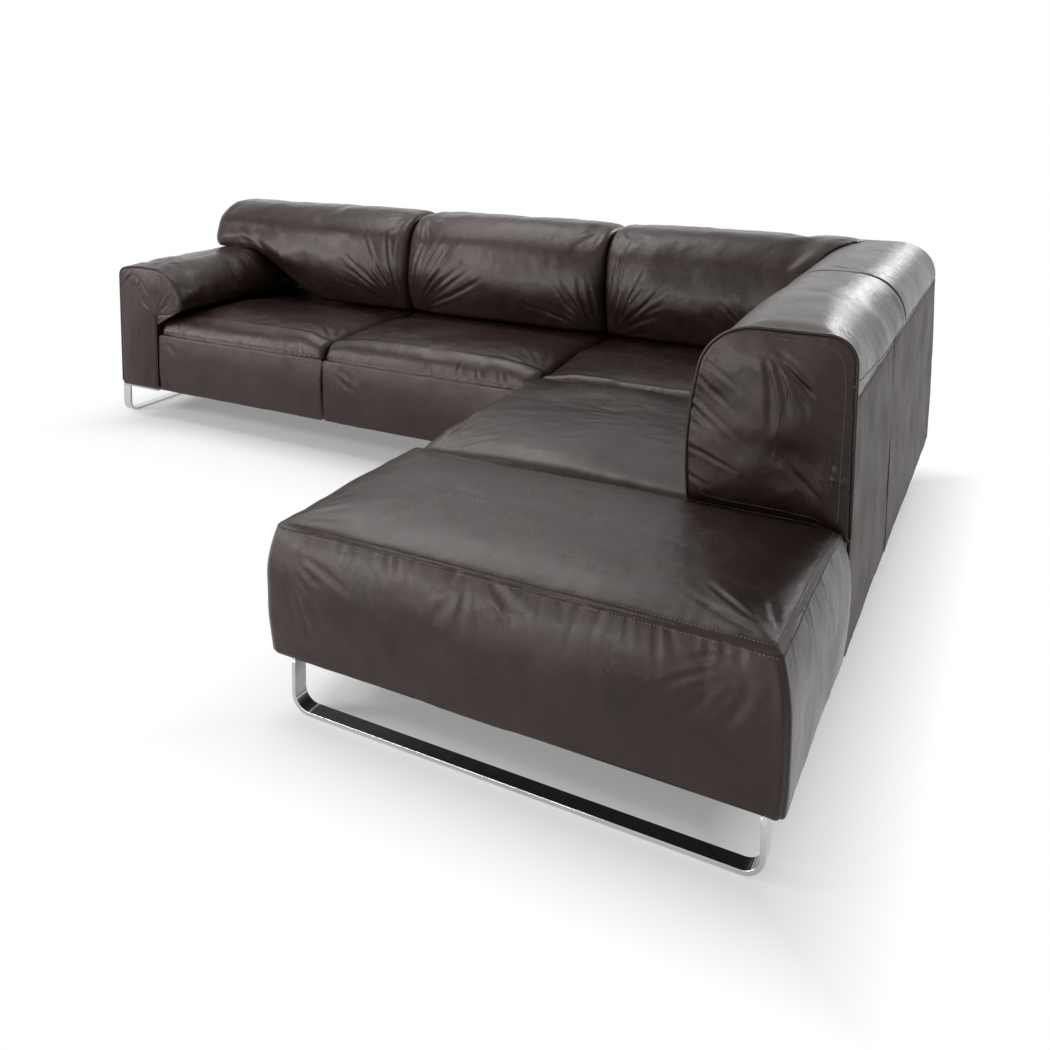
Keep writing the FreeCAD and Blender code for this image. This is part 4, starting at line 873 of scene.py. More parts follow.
@dataclass(frozen=True)
class WovenFinish(Finish):
    """Thread, webbing or lining cloth."""

    threads: float = 700.0

    def patterns(self, nodes: Nodes, where: bpy.types.NodeSocket, groups: Dict[str, bpy.types.NodeTree],
                 inputs: bpy.types.bpy_prop_collection) -> Tuple[object, object, object]:
        """Colour mask, roughness and height."""
        weave = self.grouped(nodes, groups["weave"], where, Threads_per_metre=self.threads)
        return nodes.spread(weave["Height"], -1.0, 1.0), self.roughness[0], weave["Height"]


@dataclass(frozen=True)
class WoodFinish(Finish):
    """Planed softwood with its year rings drawn out along the board."""

    def patterns(self, nodes: Nodes, where: bpy.types.NodeSocket, groups: Dict[str, bpy.types.NodeTree],
                 inputs: bpy.types.bpy_prop_collection) -> Tuple[object, object, object]:
        """Colour mask, roughness and height. The shared effects aren't used."""
        rings = nodes.noise(nodes.stretched(where, (6.0, 6.0, 60.0)), 1.0, 5.0, Distortion=1.2).outputs["Fac"]
        return rings, self.roughness[0], rings


HIDE = ((0.0108, 0.0050, 0.0042), (0.028, 0.0165, 0.0142))
FINISHES: Tuple[Finish, ...] = (
    LeatherFinish("leather_hide", *HIDE, (0.20, 0.32), 0.0003, 0.22),
    LeatherFinish("leather_panel", *HIDE, (0.50, 0.62), 0.0003, 0.22),
    LeatherFinish("leather_piping", (0.013, 0.0066, 0.0056), (0.032, 0.021, 0.018), (0.28, 0.40), 0.0002, 0.1, 0.6),
    WovenFinish("thread", (0.20, 0.155, 0.135), (0.09, 0.068, 0.058), (0.55, 0.55), 0.0001, 2400.0),
    MarkedFinish("polished_chrome", (0.60, 0.60, 0.62), (0.52, 0.52, 0.55), (0.045, 0.12), 0.00002, 0.1),
    MarkedFinish("brushed_steel", (0.42, 0.41, 0.40), (0.34, 0.33, 0.32), (0.28, 0.42), 0.0001, 0.8),
    WoodFinish("planed_wood", (0.52, 0.36, 0.20), (0.64, 0.48, 0.30), (0.6, 0.6), 0.0002),
    WovenFinish("webbing", (0.16, 0.13, 0.09), (0.30, 0.25, 0.18), (0.8, 0.8), 0.0004, 300.0),
    WovenFinish("lining_cloth", (0.008, 0.008, 0.008), (0.022, 0.022, 0.022), (0.9, 0.9), 0.0003, 420.0),
    MarkedFinish("black_plastic", (0.012, 0.012, 0.012), (0.02, 0.02, 0.02), (0.42, 0.55), 0.0002, metallic=0.0),
    WovenFinish("filling", (0.70, 0.66, 0.54), (0.80, 0.77, 0.66), (0.9, 0.9), 0.0004, 240.0),
)


class Workshop:
    """Holds the finished materials, and hands pieces over to the frame."""

    def __init__(self) -> None:
        """Builds the shared effects and every finish."""
        groups = {
            "grain": build_grain(), "patina": build_patina(), "weave": build_weave(), "smudges": build_smudges(),
        }
        self.materials = {finish.name: finish.build(groups) for finish in FINISHES}

    def hand_over(self, piece: bpy.types.Object, finish: str, nodes: Sequence[str] = ()) -> bpy.types.Object:
        """Gives a piece its material and ties it to the frame.

        Args:
            piece: The piece.
            finish: Name of its material.
            nodes: CAD nodes that it stands for.

        Returns:
            The piece.
        """
        piece.data.materials.append(self.materials[finish])
        if nodes:
            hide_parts(*nodes)
        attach(piece, "root")
        LOG.info("%s: %d faces", piece.name, len(piece.data.polygons))
        return piece

    def dress_nodes(self, record: Dict[str, object]) -> None:
        """Gives every CAD node that still shows the material of its slot."""
        by_slot = {
            "leather": "leather_hide", "chrome": "polished_chrome", "steel": "brushed_steel", "wood": "planed_wood",
            "foam": "filling", "webbing": "webbing", "dust_cloth": "lining_cloth", "plastic": "black_plastic",
        }
        slots = {item["node"]: item["material_slot"] for item in record["subparts"]}
        for name, node in frame["nodes"].items():
            material = self.materials[by_slot[slots[name]]]
            if not node.material_slots:
                node.data.materials.append(material)
            for place_for in node.material_slots:
                place_for.link = "OBJECT"
                place_for.material = material


# Thread and piping


def resampled(line: np.ndarray, pitch: float) -> np.ndarray:
    """A line as points at an even pitch."""
    far = np.concatenate([[0.0], np.cumsum(np.linalg.norm(np.diff(line, axis=0), axis=1))])
    places = np.arange(pitch / 2, far[-1], pitch)
    return np.stack([np.interp(places, far, line[:, axis]) for axis in range(3)], axis=-1)


def stitches(name: str, lines: Sequence[Tuple[np.ndarray, np.ndarray]], pitch: float = 0.0075,
             length: float = 0.0052, thick: float = 0.0009) -> bpy.types.Object:
    """Rows of stitches along lines on a skin.

    Args:
        name: Name of the piece.
        lines: Points of each line, with the skin's outward directions there.
        pitch: Distance from stitch to stitch.
        length: Length of one stitch.
        thick: Half the thread's thickness.

    Returns:
        All the stitches as one mesh object.
    """
    points, faces = [], []
    for line, outward in lines:
        spots = resampled(line, pitch)
        far = np.concatenate([[0.0], np.cumsum(np.linalg.norm(np.diff(line, axis=0), axis=1))])
        places = np.arange(pitch / 2, far[-1], pitch)
        ups = np.stack([np.interp(places, far, outward[:, axis]) for axis in range(3)], axis=-1)
        ways = np.gradient(spots, axis=0)
        for spot, up, way in zip(spots, ups, ways):
            way = way / max(float(np.linalg.norm(way)), 1e-9)
            up = up / max(float(np.linalg.norm(up)), 1e-9)
            side = np.cross(up, way)
            base = len(points)
            centre = spot + up * thick * 0.5
            points += [centre - way * length / 2 - up * thick, centre + way * length / 2 - up * thick]
            for share in (-0.3, 0.3):
                for side_by, up_by in ((1, 0), (0, 1), (-1, 0), (0, -1)):
                    points.append(centre + way * length * share + side * thick * side_by + up * thick * up_by)
            for corner in range(4):
                after = (corner + 1) % 4
                faces.append((base, base + 2 + after, base + 2 + corner))
                faces.append((base + 1, base + 6 + corner, base + 6 + after))
                faces.append((base + 2 + corner, base + 2 + after, base + 6 + after, base + 6 + corner))
    return mesh_object(name, np.array(points), faces)


def tube(name: str, line: np.ndarray, radius: float, sides: int = 12) -> bpy.types.Object:
    """A round cord along a line, closed at both ends.

    Args:
        name: Name of the piece.
        line: Points of the line.
        radius: The cord's radius.
        sides: How many points go round it.

    Returns:
        The cord as a mesh object.
    """
    ways = np.gradient(line, axis=0)
    ways /= np.linalg.norm(ways, axis=1, keepdims=True)
    side = np.cross(ways[0], [0.0, 0.0, 1.0])
    if np.linalg.norm(side) < 1e-3:
        side = np.cross(ways[0], [1.0, 0.0, 0.0])
    rings = []
    for spot, way in zip(line, ways):
        side = side - way * (side @ way)
        side = side / np.linalg.norm(side)
        up = np.cross(way, side)
        turns = np.linspace(0, 2 * math.pi, sides, endpoint=False)[:, None]
        rings.append(spot + radius * (np.cos(turns) * side + np.sin(turns) * up))
    rows = np.array(rings)
    flat = np.zeros(rows.shape[:2])
    return Shell(rows, flat, flat, (line[0], line[-1])).mesh(name)


# Sub-assemblies


@dataclass
class SoftPiece:
    """A padded leather piece: its skin, its folds and the CAD nodes that it stands for."""

    name: str
    nodes: Tuple[str, ...]
    loft: Loft
    wear: Wear
    fill: float = 0.8
    cloth: Optional[ClothRun] = None
    free: Tuple[float, float] = (0.02, 0.6)
    finish: str = "leather_hide"

    def build(self, shop: Workshop) -> Shell:
        """Builds the piece and hands it over.

        Args:
            shop: The workshop with the materials.

        Returns:
            The finished skin, for seams that follow it.
        """
        shell = self.loft.shell()
        if self.cloth is not None:
            inside = (shell.up > self.free[0]) & (shell.up < self.free[1])
            ends = (shell.across > self.loft.low + 0.03) & (shell.across < self.loft.high - 0.03)
            self.cloth.swell(shell, ~(inside & ends))
        shell.push(self.wear.heights(shell.across, shell.up))
        shop.hand_over(shell.mesh(self.name), self.finish, self.nodes)
        return shell


def column_line(shell: Shell, away: float, margin: float = 0.02) -> Tuple[np.ndarray, np.ndarray]:
    """A line that runs along a skin at one distance from its seam.

    Args:
        shell: The skin.
        away: Second coordinate of the line.
        margin: How far it stays from both ends.

    Returns:
        The line's points and the outward directions there.
    """
    number = int(np.abs(shell.up[len(shell.up) // 2] - away).argmin())
    spots, outward = shell.rows[:, number], shell.normals()[:, number]
    along = shell.across[:, number]
    kept = (along > along.min() + margin) & (along < along.max() - margin)
    return spots[kept], outward[kept]


@dataclass
class Seats:
    """Four seat cushions with the leather fronts under their rolled edges."""

    crown: float = 0.458
    corner_crown: float = 0.449
    flat: float = 0.437
    flat_reach: float = 0.395
    clearance: float = 0.075
    roll: float = 0.078
    bulge: float = 0.017
    drop: float = 0.026
    draw_in: float = 0.009
    panel: float = 0.0103

    def outline(self, ends: Point, front: float, crown: float, seam: float,
                roll: float) -> Callable[[float], List[Span]]:
        """The outline of a seat across its wing, for any place along it.

        Args:
            ends: Where the cushion starts and ends along the wing.
            front: Reach of its front.
            crown: Height of its crown.
            seam: Height of its front seam.
            roll: Depth of its rolled front edge.

        Returns:
            A function that gives the outline at a place.
        """
        middle, half = (ends[0] + ends[1]) / 2, (ends[1] - ends[0]) / 2

        def at(along: float) -> List[Span]:
            """The outline at one place along the wing."""
            loss = min(abs(along - middle) / half, 1.0) ** 4
            drop = self.drop * loss
            face = front - self.draw_in * loss
            wall = front - self.panel - self.draw_in * loss * 0.5
            top = crown - 0.012 - drop
            bend = 1 - math.sqrt(0.5)
            roll_middle = (face - roll * bend + self.bulge * 0.6, seam + (top - seam) * (1 - bend))
            flat_end = (self.flat_reach, self.flat - drop * 0.25)
            base, rear = PLAN.filling_bottom, self.clearance
            return [
                Span(((face, seam), roll_middle, (face - roll, top)), FINE_STEP, seam_start=True),
                Span(
                    ((face - roll, top), ((front + self.flat_reach) / 2, max(crown - drop, flat_end[1])), flat_end),
                    0.009,
                ),
                Span((flat_end, (rear, flat_end[1])), 0.03),
                Span(((rear, flat_end[1]), (rear, base))),
                Span(((rear, base), (wall, base))),
                Span(((wall, base), (wall, seam)), 0.03),
                Span(((wall, seam), (face, seam)), 0.006, seam_end=True),
            ]

        return at

    def folds(self, low: float, high: float, seed: int) -> Tuple[Fold, ...]:
        """The folds of one seat: puckers above its front seam, and sat-in lines on its top."""
        width = high - low
        made = puckers((low + 0.03, 0.0), (low + width * 0.5, 0.0), (0, 1), 0.030, 0.10, 0.0036, seed)
        made += puckers((low + width * 0.42, 0.0), (high - 0.03, 0.0), (0, 1), 0.075, 0.06, 0.0016, seed + 1)
        made += fan((low + 0.01, 0.10), (5, 75), (0.03, 0.26), 6, 0.0024, 0.014, seed + 2)
        made += fan((high - 0.01, 0.12), (110, 175), (0.03, 0.24), 5, 0.002, 0.013, seed + 3)
        made += fan((low + width * 0.5, 0.62), (200, 340), (0.12, 0.3), 5, 0.0016, 0.016, seed + 4)
        return tuple(made)

    def build(self, shop: Workshop) -> Dict[str, Shell]:
        """Builds the cushions, their fronts and the stitching between them."""
        half_gap = PLAN.gap / 2
        seam = PLAN.front_seam
        kinds = {
            1: (
                Wing.LONG, PLAN.split_12 + half_gap, PLAN.arm_side - 0.0005, PLAN.wing_depth, self.crown, seam,
                self.roll,
            ),
            2: (
                Wing.LONG, PLAN.split_23 + half_gap, PLAN.split_12 - half_gap, PLAN.wing_depth, self.crown, seam,
                self.roll,
            ),
            3: (Wing.LONG, self.flat_reach + 0.003, PLAN.split_23 - half_gap, PLAN.wing_depth - 0.003,
                self.corner_crown, seam + 0.034, self.roll * 0.5),
            4: (
                Wing.RETURN, PLAN.ottoman + half_gap, PLAN.corner - half_gap, PLAN.split_23, self.crown, seam,
                self.roll,
            ),
        }
        made = {}
        for number, (wing, low, high, front, crown, height, roll) in kinds.items():
            loft = Loft(wing, low, high, self.outline((low, high), front, crown, height, roll), 0.026, 0.026)
            wear = Wear(
                self.folds(low, high, 40 + number * 10), 0.0030, 0.19, 0.0007, number * 5,
                dips=(((low + high) / 2, 0.36, 0.2, 0.005),),
            )
            piece = SoftPiece(
                f"seat_{number}_cushion", (f"seat_cover_{number}", f"seat_foam_{number}"), loft, wear, 0.8,
                ClothRun(),
                (0.012, 0.56),
            )
            made[f"seat_{number}"] = piece.build(shop)
        lines = [column_line(made[f"seat_{number}"], 0.0075) for number in (1, 2, 4)]
        lines += self.fronts(shop)
        shop.hand_over(stitches("seat_stitching", lines), "thread")
        return made

    def fronts(self, shop: Workshop) -> List[Tuple[np.ndarray, np.ndarray]]:
        """Builds the three leather fronts.

        Args:
            shop: The workshop with the materials.

        Returns:
            Lines for the stitches just under their top edges.
        """
        half_gap = PLAN.gap / 2
        places = {
            1: (Wing.LONG, PLAN.split_12 + half_gap, PLAN.arm_side - half_gap, PLAN.wing_depth),
            2: (Wing.LONG, PLAN.split_23 + half_gap, PLAN.split_12 - half_gap, PLAN.wing_depth),
            4: (Wing.RETURN, PLAN.ottoman + half_gap, PLAN.corner - half_gap, PLAN.split_23),
        }
        lines = []
        for number, (wing, low, high, reach) in places.items():
            panel = Panel(wing, low, high, reach, 1, PLAN.underside, PLAN.front_seam - 0.0003, 0.010, 0.010)
            folds = puckers((low + 0.02, 0.0), (high - 0.02, 0.0), (0, -1), 0.06, 0.07, 0.0018, 300 + number)
            folds += fan((low + 0.02, -0.24), (20, 80), (0.02, 0.2), 4, 0.0014, 0.011, 310 + number)
            folds += fan((high - 0.02, -0.02), (190, 250), (0.02, 0.2), 4, 0.0014, 0.012, 320 + number)
            piece = SoftPiece(
                f"seat_{number}_front", (f"seat_front_{number}",), panel.loft(),
                Wear(tuple(folds), 0.0016, 0.16, 0.0005, 60 + number), 0.4,
            )
            lines.append(column_line(piece.build(shop), -0.0075))
        return lines


@dataclass(frozen=True)
class Panel:
    """A thin padded leather panel that stands upright on a wing's inner or outer face."""

    wing: Wing
    low: float
    high: float
    reach: float
    outward: int
    bottom: float
    top: float
    thick: float
    bulge: float
    round_end: float = 0.012

    def outline(self, along: float) -> List[Span]:
        """The outline across the wing, the same at every place."""
        face, inner = self.reach, self.reach - self.outward * self.thick
        middle = (face + self.outward * self.bulge, (self.bottom + self.top) / 2)
        return [
            Span(((face, self.top), middle, (face, self.bottom)), 0.009, seam_start=True),
            Span(((face, self.bottom), (inner, self.bottom)), 0.005),
            Span(((inner, self.bottom), (inner, self.top))),
            Span(((inner, self.top), (face, self.top)), 0.005, seam_end=True),
        ]

    def loft(self) -> Loft:
        """The panel as a skin along its wing, with heights counted down from its top seam."""
        return Loft(
            self.wing, self.low, self.high, self.outline, self.round_end, self.round_end, 0.004, 0.009, up_sign=-1
        )


@dataclass
class Backs:
    """Rolled back cushions, the corner cap and the gathered end panel."""

    top_reach: float = 0.212
    shoulder_reach: float = 0.363
    shoulder_height: float = 0.735
    belly_reach: float = 0.386
    belly_height: float = 0.600
    wing_foot: float = 0.338
    return_foot: float = 0.378
    draw: float = 0.042
    end_drop: float = 0.009
    corner_end: float = 0.300
    arm_width: float = 0.215
    arm_roll_reach: float = 0.356
    over_arm: float = 0.656
    foot_slant: float = 0.034
    cap_gap: float = 0.004
    end_roll: float = 0.060
    taper: float = 0.560
    soft: float = 0.030

    def belly(self, height: float, foot: float, draw: float) -> float:
        """How far the belly stands out at a height below its fullest line."""
        full = self.belly_reach - draw
        rise = min((height - PLAN.back_foot) / (self.belly_height - PLAN.back_foot), 1.0)
        return full - (full - foot + draw * 0.8) * (1 - rise) ** 2

    def tight_front_roll(self, along: float) -> float:
        """How much smaller than usual the return's outer roll is at a place along it."""
        share = min(max((along - PLAN.ottoman) / self.taper, 0.0), 1.0)
        return (PLAN.back_top - PLAN.roll_start - self.end_roll) * (1 - share) ** 2

    def spans(self, loss: float, foot_reach: float, foot: float, whole: bool = False,
              tighter: float = 0.0) -> List[Span]:
        """The outline of a rolled back.

        Args:
            loss: 0 where the back is full, 1 where it is most drawn in.
            foot_reach: Reach of its foot.
            foot: Height of its foot.
            whole: Whether it goes straight down the outer face.
            tighter: How much smaller than usual its outer roll is.

        Returns:
            The outline, from the outer seam over the top and down the front.
        """
        start, depth = PLAN.roll_start + tighter, PLAN.frame_depth
        draw = self.draw * loss
        top = PLAN.back_top - self.end_drop * loss
        radius = top - start
        bend = math.sqrt(0.5) * radius
        inner_top = (self.top_reach - draw * 0.2, top)
        shoulder = (self.shoulder_reach - draw * 0.7, self.shoulder_height - draw * 0.3)
        inner_middle = (
            inner_top[0] + (shoulder[0] - inner_top[0]) * 0.68, inner_top[1] - (inner_top[1] - shoulder[1]) * 0.27,
        )
        foot_point = (self.belly(foot, foot_reach, draw), foot)
        middle_height = (shoulder[1] + foot) / 2
        straight = (shoulder[0] + foot_point[0]) / 2
        middle = (max(self.belly(middle_height, foot_reach, draw), straight + 0.004), middle_height)
        seam = foot - self.foot_slant if whole else PLAN.roll_seam
        spans = [
            Span(((0.0, seam), (0.0, start)), 0.008, seam_start=not whole),
            Span(((0.0, start), (radius - bend, start + bend), (radius, top)), 0.008),
            Span(((radius, top), inner_top), 0.009),
            Span((inner_top, inner_middle, shoulder), 0.008),
            Span((shoulder, middle, foot_point), 0.008),
        ]
        if whole:
            return spans + [Span((foot_point, (depth, foot)), 0.02), Span(((depth, foot), (0.0, seam)), 0.02)]
        return spans + [
            Span((foot_point, (depth, foot))),
            Span(((depth, foot), (depth, seam))),
            Span(((depth, seam), (0.0, seam)), 0.02, seam_end=True),
        ]

    def outline(self, ends: Point, foot_reach: float, shares: Point,
                foot: Optional[Callable[[float], float]] = None,
                tight: bool = False) -> Callable[[float], List[Span]]:
        """The outline of a back for any place along its wing.

        Args:
            ends: Where the back starts and ends.
            foot_reach: Reach of its foot.
            shares: How far each end is drawn in.
            foot: Height of the foot for each place, where it isn't level.
            tight: Whether its outer roll grows from a small one at the low end.

        Returns:
            A function that gives the outline at a place.
        """
        middle, half = (ends[0] + ends[1]) / 2, (ends[1] - ends[0]) / 2

        def at(along: float) -> List[Span]:
            """The outline at one place along the wing."""
            loss = min(abs(along - middle) / half, 1.0) ** 4
            loss *= shares[0] if along < middle else shares[1]
            height = foot(along) if foot is not None else PLAN.back_foot
            return self.spans(loss, foot_reach, height, tighter=self.tight_front_roll(along) if tight else 0.0)

        return at

    def arm_foot(self, along: float) -> float:
        """Foot of the left back: over the arm at its end, then down in a slope to the seat."""
        start = PLAN.left - self.arm_width
        end = start - self.arm_roll_reach - self.shoulder_reach * 0.3
        share = min(max((start - along) / (start - end), 0.0), 1.0)
        ease = share * share * (3 - 2 * share)
        return self.over_arm + (PLAN.back_foot - self.over_arm) * ease

    def cap_face(self, height: np.ndarray) -> np.ndarray:
        """Reach of the corner cap's inner face at each height."""
        outline = np.concatenate([span.traced() for span in self.spans(0.0, self.return_foot, PLAN.back_foot)[3:5]])
        order = np.argsort(outline[:, 1])
        return np.interp(height, outline[order, 1], outline[order, 0]) + 0.0025

    def cap_rear(self, height: np.ndarray) -> np.ndarray:
        """How far back the corner cap reaches at each height, so that it ends in a roll."""
        radius = PLAN.back_top - PLAN.roll_start
        rise = np.clip((height - PLAN.roll_start) / radius, 0.0, 1.0)
        rolled = PLAN.rear - radius * (1 - np.sqrt(1 - rise ** 2))
        return np.where(height < PLAN.roll_seam - 0.002, PLAN.rear - PLAN.frame_depth - 0.004, rolled)

    def build(self, shop: Workshop) -> None:
        """Builds every back piece with its stitching."""
        half_gap = PLAN.gap / 2
        lines = []
        low, high = PLAN.split_12 + half_gap, PLAN.left
        folds = fan((low + 0.02, 0.80), (-85, -8), (0.05, 0.42), 12, 0.0062, 0.011, 11)
        folds += fan((low + 0.02, 0.30), (20, 85), (0.03, 0.2), 5, 0.0025, 0.012, 12)
        folds += puckers((low + 0.05, 0.80), (low + 0.5, 0.80), (0, -1), 0.05, 0.12, 0.0034, 13)
        lines.append(self.back(
            shop, 1, Wing.LONG, low, high, self.wing_foot, (1.0, 0.15), folds, 21, 0.055, self.arm_foot
        ))
        low, high = PLAN.split_23 + half_gap, PLAN.split_12 - half_gap
        folds = fan((low + 0.02, 0.80), (-85, -12), (0.05, 0.34), 9, 0.0050, 0.011, 15)
        folds += fan((high - 0.02, 0.80), (-168, -98), (0.05, 0.42), 11, 0.0056, 0.011, 16)
        folds += fan((high - 0.02, 0.30), (95, 165), (0.03, 0.26), 6, 0.003, 0.013, 17)
        folds += fan((low + 0.02, 0.30), (20, 80), (0.03, 0.2), 5, 0.0024, 0.013, 18)
        lines.append(self.back(shop, 2, Wing.LONG, low, high, self.wing_foot, (1.0, 1.0), folds, 22, 0.022))
        lines.append(self.corner_back(shop))
        lines.append(self.return_back(shop))
        lines.append(self.cap(shop))
        shop.hand_over(stitches("back_stitching", lines), "thread")
        self.end_panel(shop)

    def back(self, shop: Workshop, number: int, wing: Wing, low: float, high: float, foot_reach: float, shares: Point,
             folds: List[Fold], seed: int, round_high: float,
             foot: Optional[Callable[[float], float]] = None) -> Tuple[np.ndarray, np.ndarray]:
        """Builds one back of the long wing.

        Args:
            shop: The workshop with the materials.
            number: The seat that it belongs to.
            wing: The run that it stands on.
            low: Its start along the wing.
            high: Its end along the wing.
            foot_reach: Reach of its foot.
            shares: How far each end is drawn in.
            folds: Its folds.
            seed: Chooses its unevenness.
            round_high: Radius of its high end.
            foot: Height of its foot for each place, where it isn't level.

        Returns:
            A line for stitches above its outer seam.
        """
        loft = Loft(
            wing, low, high, self.outline((low, high), foot_reach, shares, foot), 0.024, round_high, self.soft,
        )
        wear = Wear(tuple(folds), 0.0030, 0.16, 0.0007, seed)
        piece = SoftPiece(
            f"back_{number}_cushion", (f"back_{number}_cover", f"back_{number}_foam"), loft, wear, 0.75, ClothRun(),
            (0.03, 0.78),
        )
        return column_line(piece.build(shop), 0.0075)

    def corner_back(self, shop: Workshop) -> Tuple[np.ndarray, np.ndarray]:
        """Builds the corner seat's back, which butts against the cap."""
        low, high = self.corner_end, PLAN.split_23 - PLAN.gap / 2
        folds = fan((high - 0.02, 0.80), (-172, -95), (0.05, 0.46), 12, 0.0058, 0.011, 25)
        folds += fan((high - 0.02, 0.30), (95, 160), (0.03, 0.25), 6, 0.0028, 0.013, 26)
        folds += fan((low + 0.14, 0.80), (-85, -20), (0.05, 0.3), 6, 0.0026, 0.013, 27)
        loft = Loft(
            Wing.LONG, low, high, self.outline((low, high), self.wing_foot, (0.0, 1.0)), 0.010, 0.024, self.soft,
            low_at=self.cap_face,
        )
        piece = SoftPiece(
            "back_3_cushion", ("back_3_cover", "back_3_foam"), loft,
            Wear(tuple(folds), 0.0030, 0.16, 0.0007, 23), 0.75,
            ClothRun(), (0.03, 0.78),
        )
        return column_line(piece.build(shop), 0.0075)

    def return_back(self, shop: Workshop) -> Tuple[np.ndarray, np.ndarray]:
        """Builds the return's back."""
        low, high = PLAN.ottoman + PLAN.gap / 2, PLAN.cap - self.cap_gap
        folds = puckers((low, 0.10), (low, 0.50), (1, 0), 0.05, 0.05, 0.0016, 31)
        folds += fan((high - 0.01, 0.3), (120, 240), (0.02, 0.2), 6, 0.0012, 0.016, 32)
        folds += puckers((low + 0.03, 0.0), (high - 0.03, 0.0), (0, 1), 0.09, 0.05, 0.0014, 33)
        loft = Loft(
            Wing.RETURN, low, high, self.outline((low, high), self.return_foot, (0.3, 0.0), tight=True), 0.006, 0.018,
            self.soft,
        )
        piece = SoftPiece(
            "return_back_cushion", ("return_back_cover", "return_back_foam"), loft,
            Wear(tuple(folds), 0.0016, 0.22, 0.0003, 24), 0.75, ClothRun(), (0.03, 0.78),
        )
        return column_line(piece.build(shop), 0.0075)

    def cap(self, shop: Workshop) -> Tuple[np.ndarray, np.ndarray]:
        """Builds the corner cap, which carries the return's roll on to a roll at the rear."""
        low, high = PLAN.cap + PLAN.gap + self.cap_gap, PLAN.rear
        folds = fan((low + 0.01, 0.22), (-50, 50), (0.02, 0.18), 5, 0.0012, 0.015, 35)
        folds += puckers((low + 0.03, 0.0), (high - 0.2, 0.0), (0, 1), 0.09, 0.05, 0.0014, 36)

        def outline(along: float) -> List[Span]:
            """The outline, the same at every place along the return."""
            return self.spans(0.0, self.return_foot, PLAN.back_foot)

        loft = Loft(Wing.RETURN, low, high, outline, 0.018, 0.003, self.soft, high_at=self.cap_rear)
        piece = SoftPiece(
            "corner_cap_cushion", ("corner_cap_cover", "corner_cap_foam"), loft,
            Wear(tuple(folds), 0.0014, 0.2, 0.0003, 28), 0.75,
        )
        return column_line(piece.build(shop), 0.0075, 0.03)

    def end_panel(self, shop: Workshop) -> None:
        """Builds the gathered panel at the return back's front end, with its piping and stitches."""
        foot = PLAN.back_foot - 0.018
        start = PLAN.ottoman + PLAN.gap / 2
        pillow = Pillow(
            Wing.RETURN, PLAN.ottoman + 0.0012, -1,
            self.spans(0.3, self.return_foot, foot, whole=True, tighter=self.tight_front_roll(start)),
            ((0.17, 0.56), (0.14, 0.74)), 0.024, 0.007,
        )
        folds = fan((0.20, 0.83), (-150, -95), (0.03, 0.22), 8, 0.0040, 0.011, 51)
        folds += puckers((0.385, 0.60), (0.33, 0.77), (-1, -0.35), 0.034, 0.17, 0.0040, 52)
        folds += puckers((0.37, 0.48), (0.385, 0.60), (-1, -0.45), 0.045, 0.14, 0.0030, 53)
        folds += puckers((0.004, 0.50), (0.004, 0.80), (1, 0.25), 0.026, 0.07, 0.0044, 54)
        folds += puckers((0.05, 0.845), (0.19, 0.85), (0.2, -1), 0.030, 0.05, 0.0026, 55)
        folds += fan((0.05, 0.47), (30, 150), (0.03, 0.15), 5, 0.0024, 0.012, 56)
        wear = Wear(tuple(folds), 0.0030, 0.11, 0.0007, 57)
        shell = pillow.build(shop, "return_end_cushion", ("return_end_panel",), wear)
        pillow.trim(shop, "return_end", shell)


